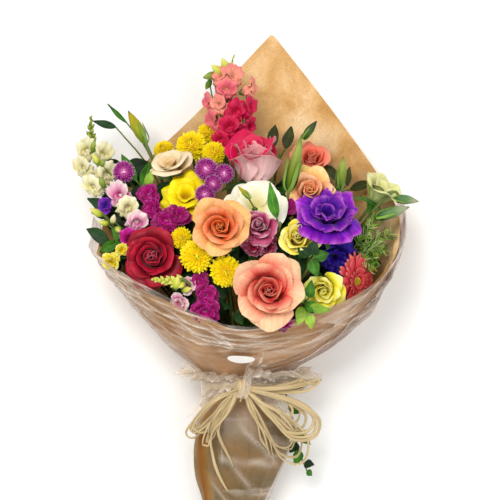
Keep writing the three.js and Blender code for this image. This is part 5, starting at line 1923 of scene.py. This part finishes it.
# Stems with no leaves under their heads.
BARE_STEMS = (
    "snapdragon_coral", "snapdragon_white", "gomphrena_back", "mum_yellow_back",
    "lisianthus_pale_right",
)


BEHIND_HEAD = 8  # how far behind a head its stem begins to turn to it
BELOW_LEAVES = (0, -6, -6)  # from the middle of the leaves' feet to their stem's end


def first_target(node, heads, leaves):
    """Where a stem first meets its head or forks."""
    if node in FORKS:
        return np.array(FORKS[node], float)
    if heads:
        maker, _, centre, facing, size, *_ = heads[0]
        depth = (1.0 if maker in (bud, bud_spike) else 0.8) * size + BEHIND_HEAD
        return np.array(centre) - unit(facing) * depth
    return np.mean([base for _, base, _, _ in leaves], axis=0) + BELOW_LEAVES


def branch(piece, route, point):
    """A side stem from a little below the stem's nearest point to something it carries."""
    gaps = np.linalg.norm(route - point, axis=1)
    nearest = gaps.argmin()
    spacing = np.linalg.norm(route[-2] - route[-3])
    start = route[max(len(route) // 2, nearest - math.ceil(0.7 * gaps[nearest] / spacing))]
    reach = np.linalg.norm(point - start)
    knee = start + (point - start) * 0.5 + np.array((0, 0.10, -0.06)) * reach
    line = spline([start, knee, point], np.linspace(0, 1, 8))
    piece.tube(kept_inside(line * MM), np.linspace(*TWIG_RADII, 8), STEM, sides=6)


def undergrowth(piece, name, centre, facing, size):
    """Leaves that spread under a bloom and fill the gaps between the blooms; most are coloured near
    black, as painted shade in those gaps.
    """
    rng = seeded(name + "_undergrowth")
    x, y, z = head_axes(facing, rng.uniform(0, 6))
    count = 5 if size > 18 else 3
    for i in range(count):
        angle = FULL_TURN * (i + rng.uniform(-0.3, 0.3)) / count
        away = x * math.cos(angle) + y * math.sin(angle)
        base = np.array(centre) - z * (size * 0.9 + 8) + away * size * 0.15
        reach = size * 0.6 + rng.uniform(12, 20)
        tip = base + away * reach - z * size * rng.uniform(0.2, 0.6)
        colour = (SHADE_DEEP_LEAF, DARK_LEAF, SHADE_DEEP_LEAF, LEAF, SHADE_DEEP_LEAF)[i]
        leaf(piece, base, tip, rng.uniform(15, 21), colour, f"{name}{i}")


for node, (slot, *parts) in BLOOMS.items():
    heads = [part for part in parts if callable(part[0])]
    leaves = [part for part in parts if not callable(part[0])]
    forked = node in FORKS
    target = first_target(node, heads, leaves)
    line = stem_line(node, target, heads[0][2] if heads and not forked else None)
    piece = Piece(node + ("_bloom" if heads else "_leaves"), slot, node)
    piece.tube(kept_inside(line * MM), np.linspace(1.0, 0.75, len(line)) * STEM_RADIUS, STEM)
    for number, (maker, petal_name, centre, facing, size, *options) in enumerate(heads):
        head = Head(piece, f"{node}{number}", centre, facing, size)
        maker(head, PETAL[petal_name], **dict(*options))
        if number or forked:
            branch(piece, line, np.array(centre) - unit(facing) * 0.4 * size)
    for number, (material, base, tip, width) in enumerate(leaves):
        branch(piece, line, np.array(base))
        leaf(piece, base, tip, width, material, f"{node}_leaf{number}")
    if node == "fern_right":
        for number, (base, tip, width) in enumerate(FRONDS):
            branch(piece, line, np.array(base))
            frond(piece, base, tip, width, f"{node}{number}")
    if node not in BARE_STEMS:
        for number, (maker, _, centre, facing, size, *_) in enumerate(heads):
            if maker not in (bud, bud_spike) and number % 2 == 0:
                undergrowth(piece, f"{node}{number}", centre, facing, size)
    piece.finish()


# The sprig caught under the raffia: its stem's route, and each leaf's place on it, tip and width.
SPRIG = ((38, -152, 46), (45, -180, 42), (51, -210, 38), (62, -238, 33))
SPRIG_LEAVES = (
    (0.20, (58, -166, 50), 10),
    (0.35, (36, -190, 52), 11),
    (0.45, (64, -206, 45), 12),
    (0.60, (42, -214, 48), 12),
    (0.70, (48, -228, 46), 11),
    (0.85, (68, -228, 38), 10),
    (0.95, (66, -240, 34), 7),
)
sprig = Piece("leaf_sprig_tie_leaves", "dark_foliage", "leaf_sprig_tie")
line = spline(SPRIG, np.linspace(0, 1, 24))
sprig.tube(line * MM, np.linspace(0.0013, 0.0008, 24), STEM, sides=7)
for number, (place, tip, width) in enumerate(SPRIG_LEAVES):
    base, colour = line[round(place * 23)], (LEAF, DARK_LEAF)[number % 2]
    leaf(sprig, base, tip, width, colour, f"sprig{number}", inside=False)
sprig.finish()


# ---- floor, lights and world ----------------------------------------------------------------

floor = bpy.data.objects.new("floor", bpy.data.meshes.new("floor"))
square = ((-1, -1), (1, -1), (1, 1), (-1, 1))
corners = [(x * FLOOR_HALF, y * FLOOR_HALF, -FLOOR_GAP) for x, y in square]
floor.data.from_pydata(corners, [], [(0, 1, 2, 3)])
floor.data.materials.append(floor_material())
bpy.context.scene.collection.objects.link(floor)
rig.stage(floor)


def area_light(name, place, target, size, power, colour=(1, 1, 1)):
    light = bpy.data.lights.new(name, "AREA")
    light.size = size
    light.energy = power
    light.color = colour
    obj = bpy.data.objects.new(name, light)
    obj.location = place
    obj.rotation_euler = (Vector(target) - Vector(place)).to_track_quat("-Z", "Y").to_euler()
    bpy.context.scene.collection.objects.link(obj)


area_light("key", (-0.45, 0.75, 1.8), (0, 0, 0.08), 0.9, 27, (1.0, 0.985, 0.96))
area_light("fill", (1.2, -0.5, 1.6), (0.05, -0.05, 0.05), 1.4, 13)
area_light("front", (-0.4, -1.5, 1.3), (0, -0.05, 0.08), 1.2, 6)

world = bpy.data.worlds.new("studio")
world.use_nodes = True
world.node_tree.nodes["Background"].inputs[0].default_value = (1, 1, 1, 1)
world.node_tree.nodes["Background"].inputs[1].default_value = 0.48
bpy.context.scene.world = world
bpy.context.scene.view_settings.view_transform = "Standard"

with open("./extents.json", "w") as out:
    json.dump({"cad": [list(p) for p in cad_box], "visual": [list(p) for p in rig.bounds()]}, out)
